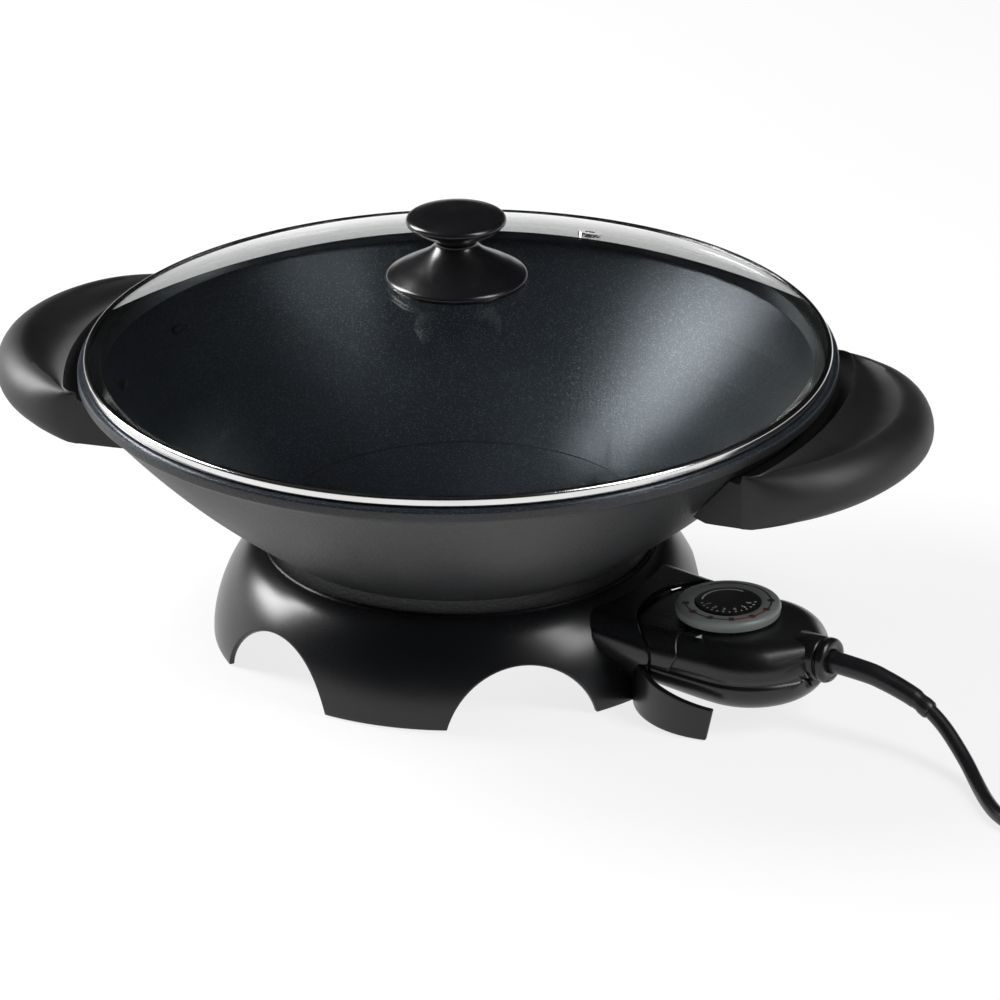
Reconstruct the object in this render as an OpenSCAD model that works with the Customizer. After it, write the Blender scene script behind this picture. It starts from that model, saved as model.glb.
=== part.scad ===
// Electric wok: cast pan on a plastic base, glass lid, plug-in thermostat control with its lead.
// +Z is up, the origin is on the table below the middle of the pan, and the handles lie along X.

/* [Lid] */
// Outer diameter of the lid's steel rim
lid_d = 360; // [320:1:380]
// Width of the steel rim's lip over the glass
rim_lip = 2.6; // [2:0.1:4]
// Thickness of the rim's sheet steel
rim_t = 0.6; // [0.4:0.1:0.8]
// Depth of the rim's skirt that hangs inside the pan, below the rim
rim_skirt = 8; // [4:0.5:9]
// Inset of that skirt from the outside of the rim
rim_inset = 8.5; // [7:0.5:12]
// Rise of the glass dome above its edge
dome_h = 36; // [25:1:60]
// Thickness of the glass
glass_t = 3; // [2.5:0.1:4]
// Bore of the steam vent
vent_d = 5; // [3:0.5:8]
// Distance of the steam vent from the middle
vent_r = 110; // [60:1:140]
// Direction of the steam vent
vent_az = 73; // [0:1:360]

/* [Knob] */
// Diameter of the knob's flared foot
knob_foot_d = 68; // [50:1:90]
// Diameter of the knob's grip
knob_cap_d = 48; // [36:1:60]
// Height of the whole knob
knob_h = 34; // [30:1:50]
// Diameter of the knob's screw
knob_screw_d = 6; // [4:0.5:8]

/* [Pan] */
// Height of the pan's rim above the table
pan_h = 142; // [136:1:160]
// Thickness of the cast wall
pan_wall = 4; // [3:0.5:6]
// Width of the pan's rim outside the lid
pan_rim_out = 3; // [1:0.5:6]
// Height of the pan's rim band
pan_rim_h = 6; // [4:0.5:8]
// Radius of curvature of the pan's side
pan_side_r = 400; // [350:10:500]
// Diameter of the flat at the pan's bottom
pan_flat_d = 60; // [40:1:80]
// Outer diameter of the foot ring cast under the pan
foot_ring_d = 187; // [184:0.5:188]
// Width of the foot ring
foot_ring_w = 4; // [3:0.5:6]

/* [Heating] */
// Diameter of the ring that the heating element follows
element_d = 100; // [90:1:104]
// Diameter of the element's tube
element_tube_d = 7; // [6:0.5:8]
// Height of the element, the terminals and the probe above the table
element_z = 31; // [30:0.5:31.5]
// Diameter of the terminal pins
pin_d = 4; // [3:0.5:5]
// Distance between the two terminal pins
pin_gap = 24; // [22:0.5:26]

/* [Handles] */
// Distance from the middle to the tip of a handle
handle_reach = 234; // [220:1:250]
// Half the angle that a handle spans round the pan
handle_half = 25.5; // [20:0.5:30]
// Height of the handle's outer lip above the table
handle_lip_z = 138; // [134:0.5:140]
// Height of the handle's underside at its tip
handle_low_z = 112; // [108:0.5:116]
// Depth of the thumb hollow on top of the handle
handle_hollow = 7; // [3:0.5:9]

/* [Base] */
// Diameter of the base at its top lip
lip_d = 193; // [192.5:0.5:197]
// Height of the top lip above the table
lip_z = 48.3; // [46:0.1:50]
// Diameter of the base at its feet
feet_d = 243; // [232:1:256]
// Wall of the base
base_wall = 2.5; // [2:0.1:3.5]
// Radius of the arches between the feet
arch_r = 38; // [30:1:39]
// Height of the top of the arches above the table
arch_top = 29.3; // [20:0.1:31]
// Angle from the socket to the first arch on each side
arch_first = 40.3; // [38:0.1:44]
// Angle from the socket to the second arch on each side
arch_second = 104.7; // [100:0.1:110]
// Diameter of the rubber pad in each foot
pad_d = 8; // [6:0.5:9]
// Height that the rubber pads lift the base off the table
pad_lift = 0.6; // [0.4:0.1:1.5]

/* [Socket] */
// Direction of the socket that takes the control
ctrl_az = -16.3; // [-20:0.1:-12]
// Width of the hood over the socket
hood_w = 78; // [74:1:82]
// Height of the hood where it leaves the base
hood_z = 47; // [45:0.5:49]
// Height that the hood loses to its mouth
hood_drop = 4.5; // [2:0.5:6]
// Width of the hood at the table, where its flanks meet the skirt
hood_foot_w = 38; // [30:1:50]
// Radius of the hood's long edges
hood_edge = 12; // [6:0.5:14]
// Radius of the hood's mouth round the dial
mouth_r = 43.6; // [43:0.1:46]
// Wall of the cradle
cradle_t = 2.8; // [2:0.1:3.2]
// Height of the cradle's two arms
cradle_h = 16.5; // [12:0.5:20]
// Angle from straight out to the tip of each cradle arm
cradle_open = 71; // [68:1:80]

/* [Control] */
// Distance from the middle of the pan to the dial
dial_s = 155.5; // [155:0.5:158]
// Distance from the middle of the pan to the middle of the control's round body
head_s = 168.3; // [166:0.1:170]
// Half width of the control's body
ctrl_r = 37.3; // [34:0.1:38]
// Height of the control's underside above the table
ctrl_low = 12.5; // [11:0.5:14]
// Height of the joint between the control's two shells
seam_z = 28; // [26:0.5:29]
// Height of the control's top round the dial
ctrl_top = 46.2; // [44:0.1:47]
// Distance from the middle of the pan to the control's outer end
ctrl_end = 205.6; // [204:0.1:208]
// Wall of the control's shells
ctrl_wall = 2.2; // [1.8:0.1:2.6]
// Diameter of the probe rod
probe_d = 5; // [4:0.5:6]
// Length of the probe rod
probe_len = 74; // [60:1:78]

/* [Dial] */
// Diameter of the dial
dial_d = 50.4; // [44:0.2:54]
// Height of the dial
dial_h = 5.6; // [4:0.1:7]
// Diameter of the dial's dark centre disc
dial_cap_d = 31.6; // [26:0.2:34]
// Diameter of the dial's spindle
spindle_d = 6; // [5:0.5:7]

/* [Lead] */
// Diameter of the lead
cord_d = 7; // [6:0.1:7.2]
// Height at which the lead leaves the control
cord_z = 36; // [35:0.5:37]
// Diameter of the strain relief at its root
relief_d = 10.8; // [10:0.1:12]
// Turns in each of the coil's two layers
coil_turns = 1.4; // [1.2:0.05:1.6]
// Radius of the coil's outer turn, to the middle of the lead
coil_r = 43; // [42:0.5:48]
// Distance between the plug's pins
plug_pitch = 19; // [19:0.5:19]
// Diameter of the plug's body
plug_d = 38; // [36:0.5:40]

/* [Hidden] */
$fn = 96;

clear = 0.3;        // gap between pieces of different bodies
run = 0.06;         // radial clearance of a running fit
snug = 0.1;         // radial clearance of a screw or a seated pin
tip = 0.2;          // gap under a screw's end

// ---- small helpers ----
function dir(a) = [cos(a), sin(a)];
function arc(c, r, a0, a1, n) = [for (i = [0:n]) c + r * dir(a0 + (a1 - a0) * i / n)];
function bez(p, t) = pow(1 - t, 3) * p[0] + 3 * t * pow(1 - t, 2) * p[1]
    + 3 * t * t * (1 - t) * p[2] + pow(t, 3) * p[3];
function bez_normal(p, t) = let (d = bez(p, min(1, t + 0.01)) - bez(p, max(0, t - 0.01)))
    [-d.y, d.x] / norm(d);
function reversed(v) = [for (i = [len(v) - 1:-1:0]) v[i]];
module to_control() { rotate([0, 0, ctrl_az]) children(); }
module along_x(x, y = 0, z = 0) { translate([x, y, z]) rotate([0, 90, 0]) children(); }
module tube(r_out, r_in, h) {
    difference() {
        cylinder(r = r_out, h = h);
        translate([0, 0, -1]) cylinder(r = r_in, h = h + 2);
    }
}

// ---- pan profile: a flat, a tight lower arc and a long side arc, all tangent ----
pan_rim_r = lid_d / 2 + pan_rim_out;
side_top = [pan_rim_r - 2, pan_h - pan_rim_h];
side_foot = [foot_ring_d / 2 + 2.5, 57];
chord = side_top - side_foot;
chord_a = atan2(chord.y, chord.x);
half_turn = asin(norm(chord) / 2 / pan_side_r);
slope_low = chord_a - half_turn;
slope_high = chord_a + half_turn;
side_c = side_foot + pan_side_r * [-sin(slope_low), cos(slope_low)];
low_r = (side_foot.x - pan_flat_d / 2) / sin(slope_low);
low_c = [pan_flat_d / 2, side_foot.y + low_r * cos(slope_low)];
pan_low = low_c.y - low_r;
function pan_arcs(t) = concat([[0, pan_low + t]],
    arc(low_c, low_r - t, -90, slope_low - 90, 8),
    arc(side_c, pan_side_r - t, slope_low - 90 + 0.4, slope_high - 90, 12));
// outer radius of the pan's side at a height
function pan_out(z) = side_c.x + sqrt(pow(pan_side_r, 2) - pow(z - side_c.y, 2));
pan_in_r = side_c.x + (pan_side_r - pan_wall) * sin(slope_high);

// ---- lid heights ----
seat_z = pan_h + clear;
rim_r = lid_d / 2;
skirt_r = rim_r - rim_inset;
glass_r = rim_r - rim_t - 0.2;
glass_low = seat_z + rim_t;
dome_r = (pow(glass_r, 2) + pow(dome_h, 2)) / (2 * dome_h);
dome_top = glass_low + glass_t + dome_h;
function dome_z(r) = dome_top - dome_r + sqrt(pow(dome_r, 2) - pow(r, 2));
wrap_r = rim_r - rim_lip;
rim_top = dome_z(wrap_r) + rim_t;
foot_z = dome_top + 0.5;
seal_r = 14;
seat_top = dome_top + 0.75;

// ---- base heights ----
shelf_z = lip_z - 3.8;
shelf_in = foot_ring_d / 2 - foot_ring_w - 3;
floor_z = 34.5;
floor_in = element_d / 2 + 13;
boss_r = 72;
boss_d = 11;
base_turns = [ctrl_az + 60, ctrl_az + 180, ctrl_az + 300];
skirt_curve = [[lip_d / 2, lip_z], [lip_d / 2 + 11.5, lip_z - 1], [feet_d / 2 + 0.5, 20],
    [feet_d / 2, pad_lift]];
skirt_steps = 14;
arch_turns = [arch_first, arch_second, 180, -arch_second, -arch_first];
foot_turns = [(arch_first + arch_second) / 2, (arch_second + 180) / 2,
    -(arch_second + 180) / 2, -(arch_first + arch_second) / 2];
notch_half = 22;
pad_s = feet_d / 2 - 10;

// ---- socket ----
mouth_x = dial_s - mouth_r;
hood_half = hood_w / 2;
hood_foot = hood_foot_w / 2;
hood_root = lip_d / 2 + 3.5;
neck_half = hood_half - 3;
tongue_half = 19.2;
tongue_low = 22.3;
tongue_h = 17.4;
cradle_in = mouth_r - 0.4;
cradle_r = cradle_in + cradle_t;
cradle_gap = 21.5;

// ================= pan =================
module wok_pan() {
    color("#3a3c40")
    difference() {
        union() {
            rotate_extrude($fn = 180) polygon(concat(pan_arcs(0), [
                [pan_rim_r, side_top.y + 0.8], [pan_rim_r, pan_h - 1], [pan_rim_r - 1, pan_h],
                [0, pan_h]]));
            // foot ring that stands on the base's shelf
            translate([0, 0, shelf_z])
                tube(foot_ring_d / 2, foot_ring_d / 2 - foot_ring_w, side_foot.y + 1.5 - shelf_z);
            // ridge cast round the heating element
            rotate_extrude() translate([element_d / 2, element_z])
                rib_outline(6.5, pan_low + 3 - element_z);
            to_control() terminal_block();
            for (a = base_turns) rotate([0, 0, a]) translate([boss_r, 0, floor_z + base_wall])
                cylinder(d = boss_d, h = 12);
            for (s = [0, 180]) rotate([0, 0, s]) handle_lugs(0);
        }
        rotate_extrude($fn = 180) polygon(concat(pan_arcs(pan_wall),
            [[pan_in_r, pan_h + 1], [0, pan_h + 1]]));
        element_path(element_tube_d / 2 + 0.02);
        to_control() along_x(40, 0, element_z) cylinder(d = probe_d + 2 * clear, h = 60);
        for (a = base_turns) rotate([0, 0, a]) translate([boss_r, 0, floor_z])
            cylinder(d = 4 + 2 * snug, h = 9);
        for (s = [0, 180]) rotate([0, 0, s]) at_handle_screws()
            translate([0, 0, -1]) cylinder(d = 5 + 2 * snug, h = 30);
    }
}

// outline of a cast rib: round below, straight sides up to h
module rib_outline(r, h) {
    polygon(concat([[r, h], [-r, h]], arc([0, 0], r, 180, 360, 14)));
}
// block cast round the probe's bore and the two ends of the element
block_start = 34;
block_end = 84;
block_round = 6.2;
block_drop = 1;
module terminal_block() {
    half = pin_gap / 2 + block_round;
    translate([block_start, 0, element_z - block_drop]) rotate([90, 0, 90])
        linear_extrude(block_end - block_start) polygon(concat([[half, 15], [-half, 15]],
            arc([-pin_gap / 2, 0], block_round, 180, 270, 7),
            arc([pin_gap / 2, 0], block_round, 270, 360, 7)));
}

// the two cast lugs that carry a handle; grow makes the pocket for them
lug_a = 13;
lug_z = 117;
lug_h = 6;
lug_end = 197;
lug_hole = 190;
module handle_lugs(grow) {
    for (a = [-lug_a, lug_a]) rotate([0, 0, a])
        translate([pan_out(lug_z) - 3, -6 - grow, lug_z - grow])
            cube([lug_end + grow - pan_out(lug_z) + 3, 12 + 2 * grow, lug_h + 2 * grow]);
}
module at_handle_screws() {
    for (a = [-lug_a, lug_a]) rotate([0, 0, a]) translate([lug_hole, 0, lug_z]) children();
}

// ================= heating =================
element_end = 88;
element_gap = asin(pin_gap / element_d);
module element_path(r) {
    rotate([0, 0, ctrl_az + element_gap])
        rotate_extrude(angle = 360 - 2 * element_gap) translate([element_d / 2, element_z]) circle(r = r);
    to_control() for (side = [-1, 1])
        along_x(sqrt(pow(element_d / 2, 2) - pow(pin_gap / 2, 2)) - r * 0.6, side * pin_gap / 2, element_z)
            cylinder(r = r, h = element_end - element_d / 2 + 2);
}
module heating_element() {
    color("#8d8f92") difference() {
        element_path(element_tube_d / 2);
        to_control() for (side = [-1, 1])
            along_x(element_end - 8, side * pin_gap / 2, element_z)
                cylinder(d = pin_d + 0.04, h = 40);
    }
}
pin_end = 112;
module terminal_pins() {
    color("#c9c6bd") to_control() for (side = [-1, 1])
        along_x(element_end - 8, side * pin_gap / 2, element_z) {
            cylinder(d = pin_d, h = pin_end - element_end + 7);
            translate([0, 0, pin_end - element_end + 7]) cylinder(d1 = pin_d, d2 = pin_d - 1.4, h = 1);
        }
}
element_cut = sqrt(pow(element_d / 2, 2) - pow(pin_gap / 2, 2)) - element_tube_d * 0.3
    + element_end - element_d / 2 + 2;
module terminal_insulators() {
    color("#e8e2d4") to_control() for (side = [-1, 1])
        along_x(element_cut, side * pin_gap / 2, element_z) difference() {
            cylinder(d = 8, h = 4);
            translate([0, 0, -1]) cylinder(d = pin_d + 0.04, h = 8);
        }
}
guard_x = block_end;
guard_len = 12;
module guard_outline(grow) {
    hull() for (side = [-1, 1]) translate([side * pin_gap / 2, 0]) circle(r = 8 + grow, $fn = 48);
}
module terminal_guard() {
    color("#a9abad") to_control() translate([guard_x, 0, element_z])
        rotate([90, 0, 90]) linear_extrude(guard_len) difference() {
            guard_outline(0);
            guard_outline(-0.8);
        }
}

// ================= handles =================
handle_steps = 28;
gutter_z = 129;
ridge_z = handle_lip_z - 1;
grip_low = 105;
function reach(s) = let (p = 1.8) pan_rim_r + 1.5
    + (handle_reach - pan_rim_r - 1.5) * pow(max(0, 1 - pow(s, p)), 1 / p);
// half section of a handle at angle a, as [radius, height] points; s is 0 in the middle, 1 at the end
function handle_section(s) = let (
        r_tip = reach(s),
        out = r_tip - pan_rim_r,
        r_ridge = pan_rim_r + min(7, 1 + out * 0.35),
        lip = handle_lip_z - 5 * pow(s, 3),
        low = handle_low_z - 5 * pow(s, 2),
        round_out = min(15, out * 0.5 + 1),
        mid_z = (lip + low) / 2 - 2,
        lip_r = max(r_ridge + 0.6, r_tip - round_out),
        dip = handle_hollow * (1 - pow(s, 2)) * min(1, out / 40))
    concat(
        [[pan_out(grip_low) + clear / 2, grip_low - 1], [pan_out(grip_low) + 8, grip_low - 2]],
        [for (i = [0:2]) let (t = i / 2) [pan_out(grip_low) + 14
            + (lip_r - 2 - pan_out(grip_low) - 14) * t, low - 3 * (1 - t)]],
        [for (i = [1:8]) let (a = -90 + 180 * i / 9)
            [lip_r + (r_tip - lip_r) * cos(a), a < 0 ? mid_z + (mid_z - low) * sin(a)
                : mid_z + (lip - mid_z) * sin(a)]],
        [for (i = [0:4]) let (t = i / 4) [lip_r + (r_ridge - lip_r) * t,
            lip + (ridge_z - 3 * s * s - lip) * t - dip * sin(180 * t)]],
        [[pan_rim_r + 0.8, gutter_z + 1.5], [pan_rim_r - 1, gutter_z],
            [pan_out(gutter_z) + clear / 2 + 1, gutter_z]]);
handle_points = [for (k = [0:handle_steps]) let (a = handle_half * (2 * k / handle_steps - 1))
    for (q = handle_section(abs(a) / handle_half)) [q.x * cos(a), q.x * sin(a), q.y]];
handle_ring = len(handle_section(0));
handle_faces = concat(
    [[for (j = [0:handle_ring - 1]) j]],
    [[for (j = [handle_ring - 1:-1:0]) handle_steps * handle_ring + j]],
    [for (k = [0:handle_steps - 1]) for (j = [0:handle_ring - 1]) let (
            a = k * handle_ring + j, b = k * handle_ring + (j + 1) % handle_ring)
        each [[a, a + handle_ring, b], [b, a + handle_ring, b + handle_ring]]]);
module handle() {
    color("#17181a") difference() {
        polyhedron(points = handle_points, faces = handle_faces);
        handle_lugs(0.2);
        at_handle_screws() {
            translate([0, 0, -30]) cylinder(d = 5 + 2 * snug, h = 32);
            translate([0, 0, -34]) cylinder(d = 10, h = 30);
        }
    }
}
module handle_right() { handle(); }
module handle_left() { rotate([0, 0, 180]) handle(); }
module handle_screws() {
    color("#b5b7ba") for (s = [0, 180]) rotate([0, 0, s]) at_handle_screws()
        translate([0, 0, -4]) {
            cylinder(d = 5, h = lug_h + 4 - 0.5);
            difference() {
                translate([0, 0, -2.8]) cylinder(d = 9, h = 2.8);
                translate([0, 0, -3.4]) cylinder(d = 3, h = 2, $fn = 6);
            }
        }
}

// ================= base =================
skirt_outer = [for (i = [0:skirt_steps]) bez(skirt_curve, i / skirt_steps)];
skirt_inner = [for (i = [0:skirt_steps])
    bez(skirt_curve, i / skirt_steps) + base_wall * bez_normal(skirt_curve, i / skirt_steps) * -1];
module skirt_shell() {
    rotate_extrude($fn = 180) polygon(concat(skirt_outer,
        [[feet_d / 2 - base_wall, pad_lift]], reversed([for (q = skirt_inner) if (q.y > pad_lift + 0.5) q]),
        [[lip_d / 2 - base_wall, lip_z]]));
    // shelf under the pan's foot ring, wall below it and floor that the screws hold
    rotate_extrude($fn = 180) polygon([[lip_d / 2 - 0.6, lip_z - 1], [lip_d / 2 - 2.2, lip_z - 0.3],
        [foot_ring_d / 2 + clear, lip_z - 0.3], [foot_ring_d / 2 + clear, shelf_z],
        [shelf_in + base_wall, shelf_z], [shelf_in + base_wall, floor_z + base_wall],
        [floor_in, floor_z + base_wall], [floor_in, floor_z], [shelf_in + 2 * base_wall - 0.5, floor_z],
        [shelf_in + 2 * base_wall - 0.5, shelf_z - base_wall], [lip_d / 2 + 4, shelf_z - base_wall]]);
}
module hood_solid(inset) {
    top_root = hood_z - inset - hood_edge;
    top_mouth = hood_z - hood_drop - inset - hood_edge;
    half = hood_half - inset;
    edge = hood_edge - inset;
    x0 = hood_root - 22 + (inset > 0 ? -8 : 0);
    x1 = dial_s;
    hull() {
        for (side = [-1, 1]) {
            translate([x0, side * (half - edge), top_root + inset]) sphere(r = edge, $fn = 32);
            translate([x1, side * (half - edge), top_mouth + inset - 1]) sphere(r = edge, $fn = 32);
        }
        translate([x0, -hood_foot + inset, inset > 0 ? -1 : pad_lift])
            cube([x1 - x0, 2 * (hood_foot - inset), 2]);
    }
}
module arches(r) {
    for (a = arch_turns) rotate([0, 0, ctrl_az + a])
        along_x(60, 0, arch_top - arch_r) cylinder(r = r, h = 90);
}
module cradle() {
    // thin round wall about the dial's axis: two free arms, taller where they meet the hood
    intersection() {
        translate([dial_s, 0, pad_lift]) difference() {
            tube(cradle_r, cradle_in, hood_z - hood_drop - 4);
            translate([0, 0, -1]) linear_extrude(90)
                polygon([[0, 0], 90 * dir(-cradle_open), [120, 0], 90 * dir(cradle_open)]);
            translate([-90, -cradle_gap, -1]) cube([90, 2 * cradle_gap, 90]);
        }
        rotate([90, 0, 0]) translate([0, 0, -60]) linear_extrude(120)
            polygon(concat([[mouth_x - 5, 0], [dial_s + 60, 0], [dial_s + 60, pad_lift + cradle_h]],
                arc([mouth_x + 47, pad_lift + cradle_h + 24], 24, -90, -180, 6),
                [[mouth_x - 5, 60]]));
    }
}
module base_skirt() {
    color("#101114") difference() {
        union() {
            difference() {
                skirt_shell();
                to_control() hood_solid(base_wall);
                arches(arch_r);
            }
            difference() {
                to_control() difference() {
                    hood_solid(0);
                    hood_solid(base_wall);
                    translate([dial_s, 0, -1]) cylinder(r = mouth_r, h = 90);
                }
                // the hood starts at the base's wall
                rotate_extrude($fn = 180) polygon(concat([[0, -5]],
                    [[feet_d / 2 - base_wall - 0.8, -5]],
                    reversed([for (q = skirt_outer) q - [1.2, 0.8]]), [[0, lip_z - 0.8]]));
                arches(arch_r);
            }
            to_control() difference() {
                cradle();
                translate([0, 0, -1]) cylinder(r = feet_d / 2 - 3, h = 90);
            }
            // hollow posts that hold the rubber pads in the feet
            for (a = foot_turns) rotate([0, 0, ctrl_az + a])
                translate([pad_s, 0, pad_lift]) {
                    cylinder(d = pad_d + 3, h = 6);
                    translate([0, -1.2, 0]) cube([9.2, 2.4, 6]);
                }
        }
        for (a = base_turns) rotate([0, 0, a]) translate([boss_r, 0, floor_z - 1])
            cylinder(d = 4 + 2 * snug, h = 6);
        // way through the shelf and the floor for the terminals and the probe
        to_control() translate([40, -notch_half, 8]) cube([hood_root - 40, 2 * notch_half, element_z + 3]);
        for (a = foot_turns) rotate([0, 0, ctrl_az + a])
            translate([pad_s, 0, -1]) cylinder(d = pad_d + 2 * snug, h = 4 + pad_lift);
        translate([0, 0, -20 + pad_lift]) cylinder(r = 300, h = 20);
    }
}
shield_t = 0.8;
shield_low = 18.5;
module heat_shield() {
    color("#b9bbbe") difference() {
        rotate_extrude($fn = 120) polygon([[0, shield_low], [54, shield_low],
            [floor_in + 3, floor_z - 4], [floor_in + 4, floor_z - shield_t],
            [boss_r + 8, floor_z - shield_t], [boss_r + 8, floor_z], [floor_in + 3.4, floor_z],
            [floor_in + 2.2, floor_z - 3.6], [53.6, shield_low + shield_t], [0, shield_low + shield_t]]);
        to_control() translate([40, -notch_half, shield_low + 2]) cube([60, 2 * notch_half, 40]);
        for (a = base_turns) rotate([0, 0, a]) translate([boss_r, 0, floor_z - 3])
            cylinder(d = 4 + 2 * snug, h = 6);
    }
}
module base_screws() {
    color("#b5b7ba") for (a = base_turns) rotate([0, 0, a])
        translate([boss_r, 0, floor_z - shield_t]) difference() {
            union() {
                cylinder(d = 4, h = 9);
                translate([0, 0, -2.4]) cylinder(d = 8, h = 2.4);
            }
            translate([0, 0, -3]) cylinder(d = 2.6, h = 1.8, $fn = 6);
        }
}
module rubber_feet() {
    color("#26272a") for (a = foot_turns) rotate([0, 0, ctrl_az + a])
        translate([pad_s, 0, 0]) cylinder(d = pad_d, h = 3 + pad_lift);
}

// ================= lid =================
glass_steps = 16;
module lid_glass() {
    color([0.8, 0.85, 0.85, 0.4]) difference() {
        rotate_extrude($fn = 180) polygon(concat(
            [for (i = [0:glass_steps]) let (r = glass_r * i / glass_steps) [r, dome_z(r)]],
            [for (i = [glass_steps:-1:0]) let (r = glass_r * i / glass_steps) [r, dome_z(r) - glass_t]]));
        translate([0, 0, 100]) cylinder(d = knob_screw_d + 1, h = 200);
        rotate([0, 0, vent_az]) translate([vent_r, 0, 100]) cylinder(d = vent_d + 3, h = 200);
    }
}
module lid_rim() {
    color("#d9dadc") rotate_extrude($fn = 180) polygon([
        [skirt_r - rim_t, seat_z - rim_skirt], [skirt_r, seat_z - rim_skirt - 0.3],
        [skirt_r, seat_z - 0.1], [skirt_r + 0.4, seat_z],
        [rim_r - 0.8, seat_z], [rim_r, seat_z + 0.8], [rim_r, rim_top - 0.9], [rim_r - 0.9, rim_top],
        [wrap_r, rim_top], [wrap_r, dome_z(wrap_r) + 0.02],
        [rim_r - rim_t, dome_z(rim_r - rim_t - 0.2) + 0.02], [rim_r - rim_t, glass_low - 0.02],
        [skirt_r, glass_low - 0.02], [skirt_r - rim_t, seat_z + 0.2]]);
}
vent_z = dome_z(vent_r);
module vent_eyelet() {
    tilt = asin(vent_r / dome_r);
    color("#cfd0d2") rotate([0, 0, vent_az]) translate([vent_r, 0, vent_z - glass_t / 2])
        rotate([0, tilt, 0]) difference() {
            union() {
                cylinder(d = vent_d + 2, h = glass_t + 1.4, center = true);
                for (side = [0, 180]) rotate([side, 0, 0]) translate([0, 0, glass_t / 2 + 0.05])
                    cylinder(d = vent_d + 7, h = 0.8);
            }
            cylinder(d = vent_d, h = 20, center = true);
        }
}
module knob_foot() {
    r = knob_foot_d / 2;
    color("#141416") difference() {
        rotate_extrude() polygon(concat([[0, seat_top], [seal_r - 3, seat_top],
            [seal_r - 2, dome_z(seal_r) + 1], [r - 5, dome_z(r - 5) + 0.3]],
            arc([r - 2.2, dome_z(r) + 2.6], 2.2, -80, 70, 6),
            arc([24, grip_low_z + 1.2], 14, -92, -175, 9), [[10, grip_low_z], [0, grip_low_z]]));
        translate([0, 0, foot_z - 1]) cylinder(d = knob_screw_d + 2 * snug, h = 60);
    }
}
grip_low_z = foot_z + 18.8;
module knob_grip() {
    r = knob_cap_d / 2;
    top = foot_z + knob_h;
    color("#141416") difference() {
        rotate_extrude() polygon(concat([[0, grip_low_z], [8, grip_low_z], [9.6, grip_low_z + 0.6]],
            arc([r - 3, top - 4.6], 3, -75, 60, 8),
            [for (i = [0:5]) let (t = i / 5) [(r - 3) * (1 - t) + 0, top - 1.9 + 1.9 * sin(90 * t)]]));
        translate([0, 0, grip_low_z - 1]) cylinder(d = knob_screw_d + 2 * snug, h = 9 + tip);
    }
}
seal_h = 1.2;
washer_h = 1.2;
seal_z = dome_z(seal_r) - glass_t - 0.02 - seal_h;
washer_z = seal_z - washer_h;
module knob_seal() {
    color("#3c3d40") {
        translate([0, 0, seal_z]) tube(seal_r, knob_screw_d / 2 + 0.5, seal_h);
        translate([0, 0, dome_top + 0.02])
            tube(seal_r - 4, knob_screw_d / 2 + 0.5, seat_top - dome_top - 0.02);
    }
}
module knob_washer() {
    color("#c4c6c9") translate([0, 0, washer_z]) tube(seal_r - 2, knob_screw_d / 2 + snug, washer_h);
}
module knob_screw() {
    color("#c4c6c9") difference() {
        translate([0, 0, washer_z]) {
            cylinder(d = knob_screw_d, h = grip_low_z + 8 - washer_z);
            translate([0, 0, -3]) cylinder(d = knob_screw_d * 1.9, h = 3);
        }
        translate([-0.6, -10, washer_z - 4]) cube([1.2, 20, 2]);
    }
}

// ================= control =================
neck_x = mouth_x + 1;
end_r = 11.5;
split = 0.15;
// pebble body: a flat round head that ends at the collar
module pebble(inset) {
    r = ctrl_r - inset;
    translate([head_s, 0, 0]) hull() {
        rotate_extrude($fn = 48) polygon(concat([[0, ctrl_low + inset]],
            arc([r - 12, ctrl_low + 13], 13 - inset, -90, -20, 5),
            [[r, seam_z - 1], [r, seam_z + 1]],
            arc([r - 14, ctrl_top - 14.5], 14 - (inset > 0 ? 0.5 : 0), 0, 80, 6),
            [[0, ctrl_top - inset]]));
        translate([ctrl_end - head_s - 9, 0, cord_z - 3]) rotate([0, 90, 0])
            cylinder(r = end_r - inset, h = 9 - inset, $fn = 32);
    }
}
// neck: carries on the line of the hood, then a lower tongue goes inside it
module neck(inset) {
    top = hood_z - hood_drop - 0.4 - inset;
    half = neck_half + 1.4 - inset;
    edge = hood_edge - inset;
    difference() {
        hull() {
            for (side = [-1, 1]) {
                along_x(neck_x, side * (half - edge), top - edge) cylinder(r = edge, h = 1, $fn = 32);
                along_x(head_s - 1, side * (half - edge), ctrl_top - 0.3 - inset - edge)
                    cylinder(r = edge, h = 1, $fn = 32);
            }
            translate([neck_x, -half, ctrl_low + 3 + inset]) cube([head_s - neck_x, 2 * half, 8]);
        }
        difference() {
            translate([0, -60, 0]) cube([dial_s, 120, 90]);
            translate([dial_s, 0, -1]) cylinder(r = cradle_in - 0.5 - inset, h = 99);
        }
    }
}
module tongue(inset) {
    translate([hood_root + 3 + inset, -tongue_half + inset, tongue_low + inset])
        cube([30, 2 * (tongue_half - inset), tongue_h - 2 * inset]);
}
module control_outside() {
    pebble(0);
    neck(0);
    tongue(0);
}
module control_inside() {
    pebble(ctrl_wall);
    neck(ctrl_wall);
    translate([ctrl_wall, 0, 0]) tongue(ctrl_wall);
}
collar_x = ctrl_end - 1.6;
collar_back = 9;
collar_ring = 4.6;
collar_groove = 1;
module collar() {
    along_x(collar_x - collar_back, 0, cord_z) cylinder(r = 10.6, h = collar_back + collar_ring);
    along_x(collar_x + collar_ring, 0, cord_z) cylinder(r = 9.6, h = collar_groove);
    along_x(collar_x + collar_ring + collar_groove, 0, cord_z) cylinder(r = 10.9, h = 4.8);
}
collar_end = collar_x + collar_ring + collar_groove + 4.8;
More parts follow.
